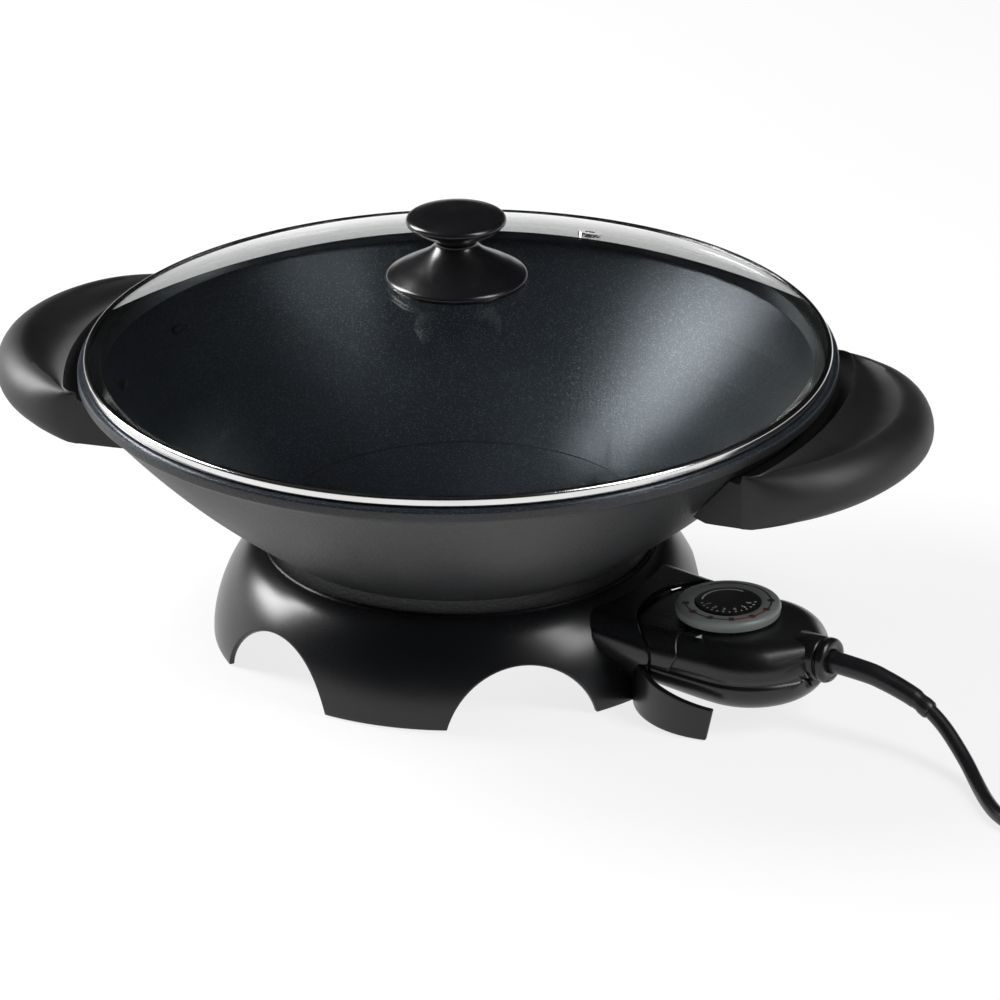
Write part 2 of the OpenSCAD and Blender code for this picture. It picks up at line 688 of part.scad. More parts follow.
module control_cuts() {
    // mouths for the contact block and the probe, and the bore for the strain relief
    translate([hood_root - 8, -17, element_z - 6.5]) cube([30, 34, 13]);
    along_x(ctrl_end - 14, 0, cord_z) cylinder(d = relief_d + 0.1, h = 60);
    at_control_screws() translate([0, 0, ctrl_low - 1]) cylinder(d = 3 + 2 * snug, h = 23);
    at_control_screws() translate([0, 0, ctrl_low - 2]) cylinder(d = 7, h = 6);
}
module at_control_screws() {
    for (side = [-1, 1]) translate([head_s - 18, side * 17, 0]) children();
    translate([head_s + 20, 0, 0]) children();
}
module posts(z0, z1) {
    at_control_screws() translate([0, 0, z0]) cylinder(d = 7.5, h = z1 - z0);
}
module control_top() {
    color("#141518") to_control() difference() {
        union() {
            difference() {
                union() { control_outside(); collar(); }
                control_inside();
            }
            intersection() {
                posts(seam_z, ctrl_top);
                control_outside();
            }
            translate([dial_s, 0, ctrl_top - 6]) cylinder(d = spindle_d + 5, h = 5);
        }
        translate([0, -60, -1]) cube([300, 120, seam_z + 1 + split / 2]);
        control_cuts();
        translate([dial_s, 0, 0]) cylinder(d = spindle_d + 2 * run, h = 90);
    }
}
module control_bottom() {
    color("#101113") to_control() difference() {
        union() {
            difference() {
                union() { control_outside(); collar(); }
                control_inside();
            }
            posts(ctrl_low + 2, seam_z);
        }
        translate([0, -60, seam_z - split / 2]) cube([300, 120, 60]);
        control_cuts();
    }
}
module control_screws() {
    color("#b5b7ba") to_control() at_control_screws() translate([0, 0, ctrl_low + 4]) {
        cylinder(d = 3, h = 18 - tip);
        difference() {
            translate([0, 0, -2]) cylinder(d = 5.6, h = 2);
            translate([-0.5, -4, -3]) cube([1, 8, 1.8]);
        }
    }
}
block_x = 97.5;
block_len = 15;
sleeve_d = pin_d + 2.2;
module contact_block() {
    color("#4a3b2a") to_control() difference() {
        translate([block_x, -16.8, element_z - 6.3]) cube([block_len, 33.6, 12.6]);
        for (side = [-1, 1]) along_x(block_x - 1, side * pin_gap / 2, element_z)
            cylinder(d = sleeve_d + 0.04, h = 40);
        along_x(block_x - 1, 0, element_z) cylinder(d = probe_d + 0.04, h = 40);
        translate([block_x - 1, -3.1, element_z + 4.5]) cube([block_len + 2, 6.2, 0.9]);
    }
}
module contact_sleeves() {
    color("#d0b36a") to_control() for (side = [-1, 1])
        along_x(block_x + 0.5, side * pin_gap / 2, element_z) difference() {
            cylinder(d = sleeve_d, h = 17.5);
            translate([0, 0, -1]) cylinder(d = pin_d + 2 * clear, h = 17);
        }
}
module earth_contact() {
    color("#c9c6bd") to_control() translate([block_x - 4, -3, element_z + 4.6])
        cube([block_len + 10, 6, 0.7]);
}
module probe_rod() {
    color("#c4c6c9") to_control() {
        along_x(block_x + 18 - probe_len + probe_d / 2, 0, element_z)
            cylinder(d = probe_d, h = probe_len - probe_d / 2);
        translate([block_x + 18 - probe_len + probe_d / 2, 0, element_z]) sphere(d = probe_d);
    }
}
// stack of blades on a metal bracket, seated on the rod's end, the contacts' ends and the lower shell
module thermostat_switch() {
    color("#9b8f7a") to_control() {
        translate([block_x + 18, -10, element_z - 4]) cube([2, 20, 8]);
        translate([block_x + 20, -8, element_z - 4]) cube([48, 16, 1.6]);
        translate([block_x + 26, -6, element_z - 2.4]) cube([10, 12, 6.4]);
        for (k = [0:2]) translate([block_x + 30, -3.5, element_z - 1 + 1.8 * k]) cube([36, 7, 0.5]);
        translate([block_x + 64, -5, element_z - 2.4]) cube([5, 10, 6]);
        translate([dial_s - 2, -2, ctrl_low + ctrl_wall])
            cube([4, 4, element_z - 4 - ctrl_low - ctrl_wall]);
    }
}

// ================= dial =================
dial_low = ctrl_top + clear;
module at_dial() { to_control() translate([dial_s, 0, 0]) children(); }
module dial_ring() {
    color("#9a9c9b") at_dial() difference() {
        translate([0, 0, dial_low]) rotate_extrude() polygon(concat([[0, 0], [dial_d / 2 - 0.6, 0]],
            arc([dial_d / 2 - 2, dial_h - 2.2], 2, 0, 80, 6), [[0, dial_h]]));
        translate([0, 0, dial_low + dial_h - 2]) cylinder(d = dial_cap_d + 0.04, h = 9);
        cylinder(d = spindle_d + 0.04, h = 90);
    }
}
module dial_cap() {
    color("#0e0e10") at_dial() translate([0, 0, dial_low + dial_h - 2]) cylinder(d = dial_cap_d, h = 2.2);
}
module dial_spindle() {
    color("#c4c6c9") at_dial() translate([0, 0, element_z + 3.4])
        cylinder(d = spindle_d, h = dial_low + dial_h - 2 - element_z - 3.4);
}

// ================= lead =================
// free route of the lead from the control to the coil, chosen by hand, [x, y, z]
exit_p = (collar_x + 2) * [cos(ctrl_az), sin(ctrl_az), 0] + [0, 0, cord_z];
root_p = (collar_end + 2) * [cos(ctrl_az), sin(ctrl_az), 0] + [0, 0, cord_z];
route = [exit_p, root_p, [225, -65.5, 35.2], [233, -67.5, 33.6], [241, -69, 31], [249, -71, 28],
    [257, -74, 24], [265, -78.5, 19], [272.5, -84.5, 13.5], [279.5, -91.5, 8.5], [285.5, -99.5, 5],
    [291, -108.5, 3.7], [297, -118.5, 3.5], [304, -128, 3.5], [313, -136, 3.5], [324, -142, 3.5],
    [336, -145.5, 3.5], [348, -147, 3.8], [360, -146, 4.3]];
relief_points = 6;
cord_sides = 8;
cord_sub = 4;

// Catmull-Rom point on the route
function cr(p, i, t) = let (
        n = len(p) - 1,
        a = p[max(0, i - 1)], b = p[i], c = p[min(n, i + 1)], d = p[min(n, i + 2)])
    0.5 * (2 * b + (c - a) * t + (2 * a - 5 * b + 4 * c - d) * t * t + (3 * b - a - 3 * c + d) * t * t * t);
function smooth(p, sub) = concat([for (i = [0:len(p) - 2]) for (k = [0:sub - 1]) cr(p, i, k / sub)],
    [p[len(p) - 1]]);
function unit(v) = v / norm(v);
function tangent(p, i) = unit(p[min(len(p) - 1, i + 1)] - p[max(0, i - 1)]);
// rings of a tube of radius r(i) along points p; rings stay level, so the tube doesn't twist
function ring(p, i, r, n) = let (t = tangent(p, i), s = unit(cross([0, 0, 1], t)), u = cross(t, s))
    [for (k = [0:n - 1]) p[i] + r * (cos(360 * k / n) * s + sin(360 * k / n) * u)];
module sweep(p, radii, n) {
    m = len(p);
    points = [for (i = [0:m - 1]) each ring(p, i, radii[i], n)];
    faces = concat([[for (k = [n - 1:-1:0]) k]], [[for (k = [0:n - 1]) (m - 1) * n + k]],
        [for (i = [0:m - 2]) for (k = [0:n - 1]) let (a = i * n + k, b = i * n + (k + 1) % n)
            each [[a, b, a + n], [b, b + n, a + n]]]);
    polyhedron(points = points, faces = faces);
}
function path_length(p) = len(p) < 2 ? 0 : norm_sum(p, len(p) - 1);
function norm_sum(p, i) = i == 0 ? 0 : norm(p[i] - p[i - 1]) + norm_sum(p, i - 1);

free_smooth = smooth(route, cord_sub);
route_end = free_smooth[len(free_smooth) - 1];
end_step = route_end - free_smooth[len(free_smooth) - 2];
coil_dir = unit([end_step.x, end_step.y, 0]);
coil_start = route_end + cord_d * coil_dir;
free_path = concat(free_smooth, [coil_start]);
module power_cord() {
    color("#1d1e20") sweep(free_path, [for (q = free_path) cord_d / 2], cord_sides);
}
relief_path = smooth([for (i = [0:relief_points]) route[i]], 2);
module strain_relief() {
    n = len(relief_path) - 1;
    color("#18191b") sweep(relief_path, [for (i = [0:n]) relief_d / 2 - 0.9 * i / n], 12);
}

// coil: two layers that spiral in and out again, about the middle of the coil
coil_pitch = cord_d + 0.7;
coil_z = coil_start.z;
coil_mid = coil_start + cord_d * coil_dir + coil_r * [-coil_dir.y, coil_dir.x, 0];
coil_a0 = atan2(coil_dir.y, coil_dir.x) - 90;
coil_rings = 24;
climb = 0.5;
coil_total = 2 * coil_turns + climb;
coil_in = coil_r - coil_pitch * coil_turns;
function coil_radius(u) = u < coil_turns ? coil_r - coil_pitch * u
    : u < coil_turns + climb ? coil_in - 0.27 * coil_pitch * sin(180 * (u - coil_turns) / climb)
    : coil_in + coil_pitch * (u - coil_turns - climb);
function coil_height(u) = u < coil_turns ? coil_z
    : u < coil_turns + climb ? coil_z + coil_pitch * (0.5 - 0.5 * cos(180 * (u - coil_turns) / climb))
    : coil_z + coil_pitch;
function coil_point(u) = [coil_mid.x + coil_radius(u) * cos(coil_a0 + 360 * u),
    coil_mid.y + coil_radius(u) * sin(coil_a0 + 360 * u), coil_height(u)];
coil_n = round(coil_total * coil_rings);
coil_loop = [for (i = [0:coil_n]) coil_point(coil_total * i / coil_n)];
coil_out_a = coil_a0 + 360 * coil_total + 90;
coil_end = coil_loop[coil_n];
plug_z = plug_d / 2;
// run from the coil to the plug: straight on, easing up to the height of the plug's middle
lead_out = 34;
function out_point(t) = [coil_end.x, coil_end.y, 0] + lead_out * t * [cos(coil_out_a), sin(coil_out_a), 0]
    + [0, 0, coil_end.z + (plug_z - coil_end.z) * (0.5 - 0.5 * cos(180 * min(1, t)))];
coil_path = concat([coil_start], coil_loop, [for (i = [1:4]) out_point(i / 4)],
    [out_point(1) + cord_d * [cos(coil_out_a), sin(coil_out_a), 0]]);
coil_gap = min([for (i = [0:len(coil_loop) - 1]) for (j = [i + 8:1:len(coil_loop) - 1])
    norm(coil_loop[i] - coil_loop[j])]) - cord_d;
echo(str("least gap of the coil to itself, mm: ", coil_gap));
echo(str("length of the lead, mm: ", path_length(free_path) + path_length(coil_path)));
module cord_coil() {
    color("#1d1e20") sweep(coil_path, [for (q = coil_path) cord_d / 2], 6);
}
tie_u = 0.15;       // place of the tie, in turns from the start of the coil
tie_t = 0.7;
module cord_tie() {
    a = coil_a0 + 360 * tie_u;
    r_high = coil_r - coil_pitch * tie_u + cord_d / 2 + 0.4;
    r_low = coil_r - coil_pitch * (1 + tie_u) - cord_d / 2 - 0.8;
    h = 2 * cord_d + (coil_pitch - cord_d) + 0.8;
    color("#0f0f10") translate([coil_mid.x, coil_mid.y, coil_z - cord_d / 2 - 0.02]) rotate([0, 0, a])
        translate([0, 5, 0]) rotate([90, 0, 0]) linear_extrude(10) difference() {
            translate([r_low - tie_t, -tie_t]) square([r_high - r_low + 2 * tie_t, h + 2 * tie_t]);
            translate([r_low, 0]) square([r_high - r_low, h]);
        }
}
plug_p = out_point(1) + cord_d * [cos(coil_out_a), sin(coil_out_a), 0];
module at_plug() {
    translate([plug_p.x, plug_p.y, plug_z]) rotate([0, 0, coil_out_a]) rotate([0, 90, 0]) children();
}
plug_len = 34;
module plug_body() {
    color("#1a1b1d") at_plug() difference() {
        rotate_extrude($fn = 64) polygon([[0, 0], [4.6, 0], [5.4, 14], [10, 18], [plug_d / 2 - 1.5, 27],
            [plug_d / 2, 30], [plug_d / 2, 18 + plug_len - 1], [plug_d / 2 - 1, 18 + plug_len],
            [0, 18 + plug_len]]);
        for (side = [-1, 1]) translate([0, side * plug_pitch / 2, 18 + plug_len - 12])
            cylinder(d = 4.84, h = 30);
        for (side = [-1, 1]) translate([side * (plug_d / 2 - 1.4) - 1.5, -3, 34]) cube([3, 6, 40]);
    }
}
module plug_pins() {
    color("#c9c6bd") at_plug() for (side = [-1, 1])
        translate([0, side * plug_pitch / 2, 18 + plug_len - 12]) {
        cylinder(d = 4.8, h = 29);
        translate([0, 0, 29]) sphere(d = 4.8, $fn = 48);
    }
}
module plug_earth_clips() {
    color("#c9c6bd") at_plug() for (side = [-1, 1])
        translate([side * (plug_d / 2 - 1.4) - 0.6, -2.9, 34]) cube([1.2, 5.8, 18 + plug_len - 34]);
}

wok_pan();
heating_element();
terminal_pins();
terminal_insulators();
terminal_guard();
handle_left();
handle_right();
handle_screws();
base_skirt();
heat_shield();
base_screws();
rubber_feet();
lid_glass();
lid_rim();
vent_eyelet();
knob_foot();
knob_grip();
knob_screw();
knob_washer();
knob_seal();
control_top();
control_bottom();
contact_block();
contact_sleeves();
earth_contact();
probe_rod();
thermostat_switch();
control_screws();
dial_ring();
dial_cap();
dial_spindle();
strain_relief();
power_cord();
cord_coil();
cord_tie();
plug_body();
plug_pins();
plug_earth_clips();
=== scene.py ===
"""Looks of an electric wok: cast pan, glass lid, arched base and plug-in control with its lead.

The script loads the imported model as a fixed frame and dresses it.  Sizes are in millimetres, as in the
part's source, and each finished mesh is brought to metres once.  "Out" is the direction of the control's
socket, along which the control, its hood and its dial are laid out before they are turned into place.
"""

from __future__ import annotations

import logging
import math
from dataclasses import dataclass, field
from enum import Enum
from typing import Iterable, Sequence

import bmesh
import bpy
from mathutils import Matrix, Vector

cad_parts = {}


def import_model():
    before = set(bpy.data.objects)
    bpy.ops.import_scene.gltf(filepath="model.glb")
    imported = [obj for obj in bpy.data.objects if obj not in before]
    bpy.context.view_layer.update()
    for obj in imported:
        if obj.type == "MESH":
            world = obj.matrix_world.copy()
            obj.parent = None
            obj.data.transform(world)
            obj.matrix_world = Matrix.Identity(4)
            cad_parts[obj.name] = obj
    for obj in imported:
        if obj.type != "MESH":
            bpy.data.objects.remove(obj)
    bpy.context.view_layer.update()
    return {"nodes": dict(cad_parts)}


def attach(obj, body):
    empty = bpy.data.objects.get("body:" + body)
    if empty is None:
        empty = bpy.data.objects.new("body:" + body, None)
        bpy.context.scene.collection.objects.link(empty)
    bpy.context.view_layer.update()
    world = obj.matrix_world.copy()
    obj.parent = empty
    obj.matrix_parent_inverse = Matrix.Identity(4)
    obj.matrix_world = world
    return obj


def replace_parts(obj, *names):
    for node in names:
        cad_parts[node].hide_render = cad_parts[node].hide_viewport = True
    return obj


LOG = logging.getLogger("wok")
METRES = 0.001
CONTROL_AZIMUTH = -16.3
Point = tuple[float, float]
Point3 = tuple[float, float, float]


class Body(Enum):
    """Bodies of the frame that pieces ride on."""

    WOK = "wok"
    LID = "lid"
    CONTROL = "control"
    DIAL = "dial"


# ---------------------------------------------------------------- small geometry helpers


def arc(centre: Point, radius: float, start: float, end: float, steps: int) -> list[Point]:
    """Points of an arc.

    Args:
        centre: middle of the arc.
        radius: its radius.
        start: first angle in degrees.
        end: last angle in degrees.
        steps: number of chords.

    Returns:
        steps + 1 points.
    """
    angles = (math.radians(start + (end - start) * i / steps) for i in range(steps + 1))
    return [(centre[0] + radius * math.cos(a), centre[1] + radius * math.sin(a)) for a in angles]


def flow(points: Sequence[Sequence[float]], per: int) -> list[tuple[float, ...]]:
    """Smooth line through points, by Catmull-Rom.

    Args:
        points: points of the line, of any dimension.
        per: number of steps from one point to the next.

    Returns:
        Points of the smooth line, the given ones among them.
    """
    last = len(points) - 1
    line: list[tuple[float, ...]] = []
    for i in range(last):
        a, b = points[max(0, i - 1)], points[i]
        c, d = points[i + 1], points[min(last, i + 2)]
        for k in range(per):
            t = k / per
            line.append(tuple(
                0.5 * (2 * q + (r - p) * t + (2 * p - 5 * q + 4 * r - s) * t**2
                       + (3 * q - p - 3 * r + s) * t**3)
                for p, q, r, s in zip(a, b, c, d)))
    line.append(tuple(points[last]))
    return line


def eased(t: float) -> float:
    """Smooth step.

    Args:
        t: how far along, held between 0 and 1.

    Returns:
        A number from 0 to 1 that starts and ends level.
    """
    t = min(1.0, max(0.0, t))
    return t * t * (3 - 2 * t)


def polar(radius: float, degrees: float, z: float = 0.0) -> Vector:
    """Point in plan by its radius and azimuth.

    Args:
        radius: distance from the axis.
        degrees: azimuth.
        z: height.

    Returns:
        The point.
    """
    a = math.radians(degrees)
    return Vector((radius * math.cos(a), radius * math.sin(a), z))


def line_of(bm: bmesh.types.BMesh, points: Iterable[Sequence[float]],
            closed: bool) -> list[bmesh.types.BMVert]:
    """Draws a line of edges into a bmesh.

    Args:
        bm: the bmesh.
        points: its corners.
        closed: whether the last corner is joined to the first.

    Returns:
        The new vertices, in order.
    """
    verts = [bm.verts.new(p) for p in points]
    pairs = list(zip(verts, verts[1:])) + ([(verts[-1], verts[0])] if closed else [])
    for a, b in pairs:
        bm.edges.new((a, b))
    return verts


def spun(bm: bmesh.types.BMesh, profile: Sequence[Point], steps: int = 160, closed: bool = False,
         centre: Point = (0.0, 0.0)) -> None:
    """Turns a profile of (radius, height) points all the way round a vertical axis.

    Args:
        bm: the bmesh to add to.
        profile: the profile; a point at radius 0 becomes a closed pole.
        steps: number of steps of the turn.
        closed: whether the profile is a closed outline.
        centre: where the axis stands.
    """
    part = bmesh.new()
    verts = line_of(part, [(centre[0] + max(r, 0.0), centre[1], z) for r, z in profile], closed)
    bmesh.ops.spin(part, geom=verts + part.edges[:], cent=(*centre, 0.0), axis=(0, 0, 1), dvec=(0, 0, 0),
                   angle=math.tau, steps=steps, use_merge=True, use_duplicate=False)
    bmesh.ops.remove_doubles(part, verts=part.verts[:], dist=1e-4)
    turn_outside_out(part)
    add(bm, part)


def turn_outside_out(part: bmesh.types.BMesh) -> None:
    """Makes the faces of a shape agree, and look outwards where the shape is closed.

    Args:
        part: the shape.
    """
    bmesh.ops.recalc_face_normals(part, faces=part.faces[:])
    if all(len(e.link_faces) == 2 for e in part.edges) and part.calc_volume(signed=True) < 0:
        bmesh.ops.reverse_faces(part, faces=part.faces[:])


def add(bm: bmesh.types.BMesh, part: bmesh.types.BMesh, place: Matrix | None = None) -> None:
    """Adds one bmesh to another.

    Args:
        bm: the bmesh that grows.
        part: the bmesh that is added and freed.
        place: where it goes.
    """
    if place is not None:
        bmesh.ops.transform(part, matrix=place, verts=part.verts[:])
    mesh = bpy.data.meshes.new("part")
    part.to_mesh(mesh)
    part.free()
    bm.from_mesh(mesh)
    bpy.data.meshes.remove(mesh)


def loft(bm: bmesh.types.BMesh, stations: Sequence[Sequence[Point3]], closed: bool, capped: bool) -> None:
    """Extrudes a section from station to station.

    Args:
        bm: the bmesh to add to.
        stations: the section's points at each station, always in the same order.
        closed: whether the section is a closed ring.
        capped: whether both ends are filled.
    """
    part = bmesh.new()
    ring = line_of(part, stations[0], closed)
    edges = part.edges[:]
    if capped:
        part.faces.new(ring)
    for station in stations[1:]:
        made = bmesh.ops.extrude_edge_only(part, edges=edges)["geom"]
        fresh = {tuple(v.co): v for v in made if isinstance(v, bmesh.types.BMVert)}
        ring = [fresh[tuple(v.co)] for v in ring]
        for vert, co in zip(ring, station):
            vert.co = co
        edges = [e for e in made if isinstance(e, bmesh.types.BMEdge) and all(v in ring for v in e.verts)]
    if capped:
        part.faces.new(ring)
    turn_outside_out(part)
    add(bm, part)


def tube_along(bm: bmesh.types.BMesh, path: Sequence[Sequence[float]], radii: Sequence[float],
               sides: int) -> None:
    """Tube of changing radius along a path, with level rings and closed ends.

    Args:
        bm: the bmesh to add to.
        path: its centreline.
        radii: its radius at each point of the path.
        sides: number of sides.
    """
    points = [Vector(p) for p in path]
    stations = []
    for i, (p, r) in enumerate(zip(points, radii)):
        ahead = (points[min(i + 1, len(points) - 1)] - points[max(i - 1, 0)]).normalized()
        side = Vector((0, 0, 1)).cross(ahead).normalized()
        up = ahead.cross(side)
        stations.append([tuple(p + r * (math.cos(a) * side + math.sin(a) * up))
                         for a in (math.tau * k / sides for k in range(sides))])
    loft(bm, stations, closed=True, capped=True)


def block(bm: bmesh.types.BMesh, low: Sequence[float], high: Sequence[float], edge: float,
          place: Matrix | None = None) -> None:
    """Box with bevelled edges.

    Args:
        bm: the bmesh to add to.
        low: lowest corner.
        high: highest corner.
        edge: width of the bevel.
        place: extra transform.
    """
    part = bmesh.new()
    size = Vector(high) - Vector(low)
    middle = (Vector(high) + Vector(low)) / 2
    bmesh.ops.create_cube(part, size=1.0, matrix=Matrix.Translation(middle) @ Matrix.Diagonal((*size, 1.0)))
    bmesh.ops.bevel(part, geom=part.edges[:], offset=edge, offset_type="OFFSET", affect="EDGES", segments=2,
                    profile=0.5, material=-1)
    add(bm, part, place)


TURN_OUT = Matrix.Rotation(math.radians(CONTROL_AZIMUTH), 4, "Z")


def piece(bm: bmesh.types.BMesh, name: str, finish: "Finish", body: Body, *,
          replaces: Sequence[str] = (), out: bool = False, crease: float = 35.0) -> bpy.types.Object:
    """Makes a finished object of a bmesh and gives it its finish and its body.

    Args:
        bm: the shape in millimetres; it is freed.
        name: the piece's name.
        finish: what it is made of.
        body: the body it rides on.
        replaces: the frame's nodes that it stands for.
        out: whether the shape is laid out along +X and has to be turned to the socket's direction.
        crease: angle in degrees above which an edge is sharp.

    Returns:
        The new object.
    """
    turn = TURN_OUT if out else Matrix.Identity(4)
    bmesh.ops.transform(bm, matrix=Matrix.Scale(METRES, 4) @ turn, verts=bm.verts[:])
    mesh = bpy.data.meshes.new(name)
    bm.to_mesh(mesh)
    bm.free()
    mesh.shade_smooth()
    mesh.set_sharp_from_angle(angle=math.radians(crease))
    mesh.materials.append(finish.material())
    made = bpy.data.objects.new(name, mesh)
    bpy.context.scene.collection.objects.link(made)
    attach(made, body.value)
    if replaces:
        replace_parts(made, *replaces)
    LOG.info("piece %s: %d faces", name, len(mesh.polygons))
    return made


def wall(target: bpy.types.Object, thickness: float, round_edge: float = 0.0, even: bool = True) -> None:
    """Gives an open shell its wall, inwards, and rounds its edges.

    Args:
        target: the shell.
        thickness: the wall in millimetres.
        round_edge: width of the rounded edges in millimetres, or 0 for none.
        even: whether the wall keeps its thickness at corners.
    """
    solid = target.modifiers.new("wall", "SOLIDIFY")
    solid.thickness = thickness * METRES
    solid.offset = -1.0
    solid.use_even_offset = even
    if round_edge:
        bevel = target.modifiers.new("edge", "BEVEL")
        bevel.width = round_edge * METRES
        bevel.segments = 2
        bevel.limit_method = "ANGLE"
        bevel.angle_limit = math.radians(50)


# ---------------------------------------------------------------- finishes


def maths(tree: bpy.types.NodeTree, operation: str,
          *inputs: bpy.types.NodeSocket | float) -> bpy.types.NodeSocket:
    """Adds a Math node to a tree.

    Args:
        tree: the tree.
        operation: the node's operation.
        inputs: sockets to link or numbers to set, in the order of the node's own inputs.

    Returns:
        The node's output.
    """
    node = tree.nodes.new("ShaderNodeMath")
    node.operation = operation
    for socket, value in zip(node.inputs, inputs):
        if isinstance(value, bpy.types.NodeSocket):
            tree.links.new(value, socket)
        else:
            socket.default_value = value
    return node.outputs[0]


class Groups:
    """Shader node groups that several finishes share, each built once."""

    @staticmethod
    def _new(name: str, inputs: dict[str, float], output: str) -> tuple[bpy.types.NodeTree, bool]:
        """Makes a group with its sockets, or finds it.

        Args:
            name: the group's name.
            inputs: value inputs with their defaults, beside the input Vector.
            output: name of the value output.

        Returns:
            The group, and whether it is new.
        """
        if name in bpy.data.node_groups:
            return bpy.data.node_groups[name], False
        tree = bpy.data.node_groups.new(name, "ShaderNodeTree")
        tree.interface.new_socket("Vector", in_out="INPUT", socket_type="NodeSocketVector")
        for socket, value in inputs.items():
            made = tree.interface.new_socket(socket, in_out="INPUT", socket_type="NodeSocketFloat")
            made.default_value = value
        tree.interface.new_socket(output, in_out="OUTPUT", socket_type="NodeSocketFloat")
        return tree, True

    @staticmethod
    def _texture(tree: bpy.types.NodeTree, into: bpy.types.Node, kind: str) -> bpy.types.Node:
        """Adds a texture node that takes its place and its scale from the group's inputs.

        Args:
            tree: the group.
            into: its input node.
            kind: the texture, Noise or Voronoi.

        Returns:
            The texture node.
        """
        texture = tree.nodes.new(f"ShaderNodeTex{kind}")
        for socket in ("Vector", "Scale"):
            tree.links.new(into.outputs[socket], texture.inputs[socket])
        return texture

    @staticmethod
    def mottle() -> bpy.types.NodeTree:
        """Soft cloudy variation of a surface, as in handled plastic and cast metal.

        Returns:
            Group with inputs Vector, Scale and Contrast, and output Mask from 0 to 1.
        """
        tree, new = Groups._new("Mottle", {"Scale": 40.0, "Contrast": 1.0}, "Mask")
        if new:
            into, out = tree.nodes.new("NodeGroupInput"), tree.nodes.new("NodeGroupOutput")
            noise = Groups._texture(tree, into, "Noise")
            noise.inputs["Detail"].default_value = 4.0
            spread = tree.nodes.new("ShaderNodeMapRange")
            tree.links.new(noise.outputs["Fac"], spread.inputs["Value"])
            for end, share in (("From Min", -0.25), ("From Max", 0.25)):
                limit = maths(tree, "MULTIPLY_ADD", into.outputs["Contrast"], share, 0.5)
                tree.links.new(limit, spread.inputs[end])
            tree.links.new(spread.outputs["Result"], out.inputs["Mask"])
        return tree

    @staticmethod
    def grain() -> bpy.types.NodeTree:
        """Fine surface grain: small rounded pits and bumps.

        Returns:
            Group with inputs Vector, Scale and Depth, and output Height.
        """
        tree, new = Groups._new("Grain", {"Scale": 900.0, "Depth": 1.0}, "Height")
        if new:
            into, out = tree.nodes.new("NodeGroupInput"), tree.nodes.new("NodeGroupOutput")
            noise = Groups._texture(tree, into, "Noise")
            noise.inputs["Detail"].default_value = 2.0
            cells = Groups._texture(tree, into, "Voronoi")
            cells.feature = "SMOOTH_F1"
            height = maths(tree, "ADD", noise.outputs["Fac"], cells.outputs["Distance"])
            deep = maths(tree, "MULTIPLY", height, into.outputs["Depth"])
            tree.links.new(deep, out.inputs["Height"])
        return tree

    @staticmethod
    def flecks() -> bpy.types.NodeTree:
        """Tiny scattered flecks, as metallic grains in a non-stick coating.

        Returns:
            Group with inputs Vector, Scale and Amount, and output Mask that is 1 on a fleck.
        """
        tree, new = Groups._new("Flecks", {"Scale": 1400.0, "Amount": 0.3}, "Mask")
        if new:
            fleck_radius = 0.38
            into, out = tree.nodes.new("NodeGroupInput"), tree.nodes.new("NodeGroupOutput")
            cells = Groups._texture(tree, into, "Voronoi")
            apart = tree.nodes.new("ShaderNodeSeparateColor")
            tree.links.new(cells.outputs["Color"], apart.inputs["Color"])
            picked = maths(tree, "LESS_THAN", apart.outputs["Red"], into.outputs["Amount"])
            near = maths(tree, "LESS_THAN", cells.outputs["Distance"], fleck_radius)
            tree.links.new(maths(tree, "MULTIPLY", picked, near), out.inputs["Mask"])
        return tree


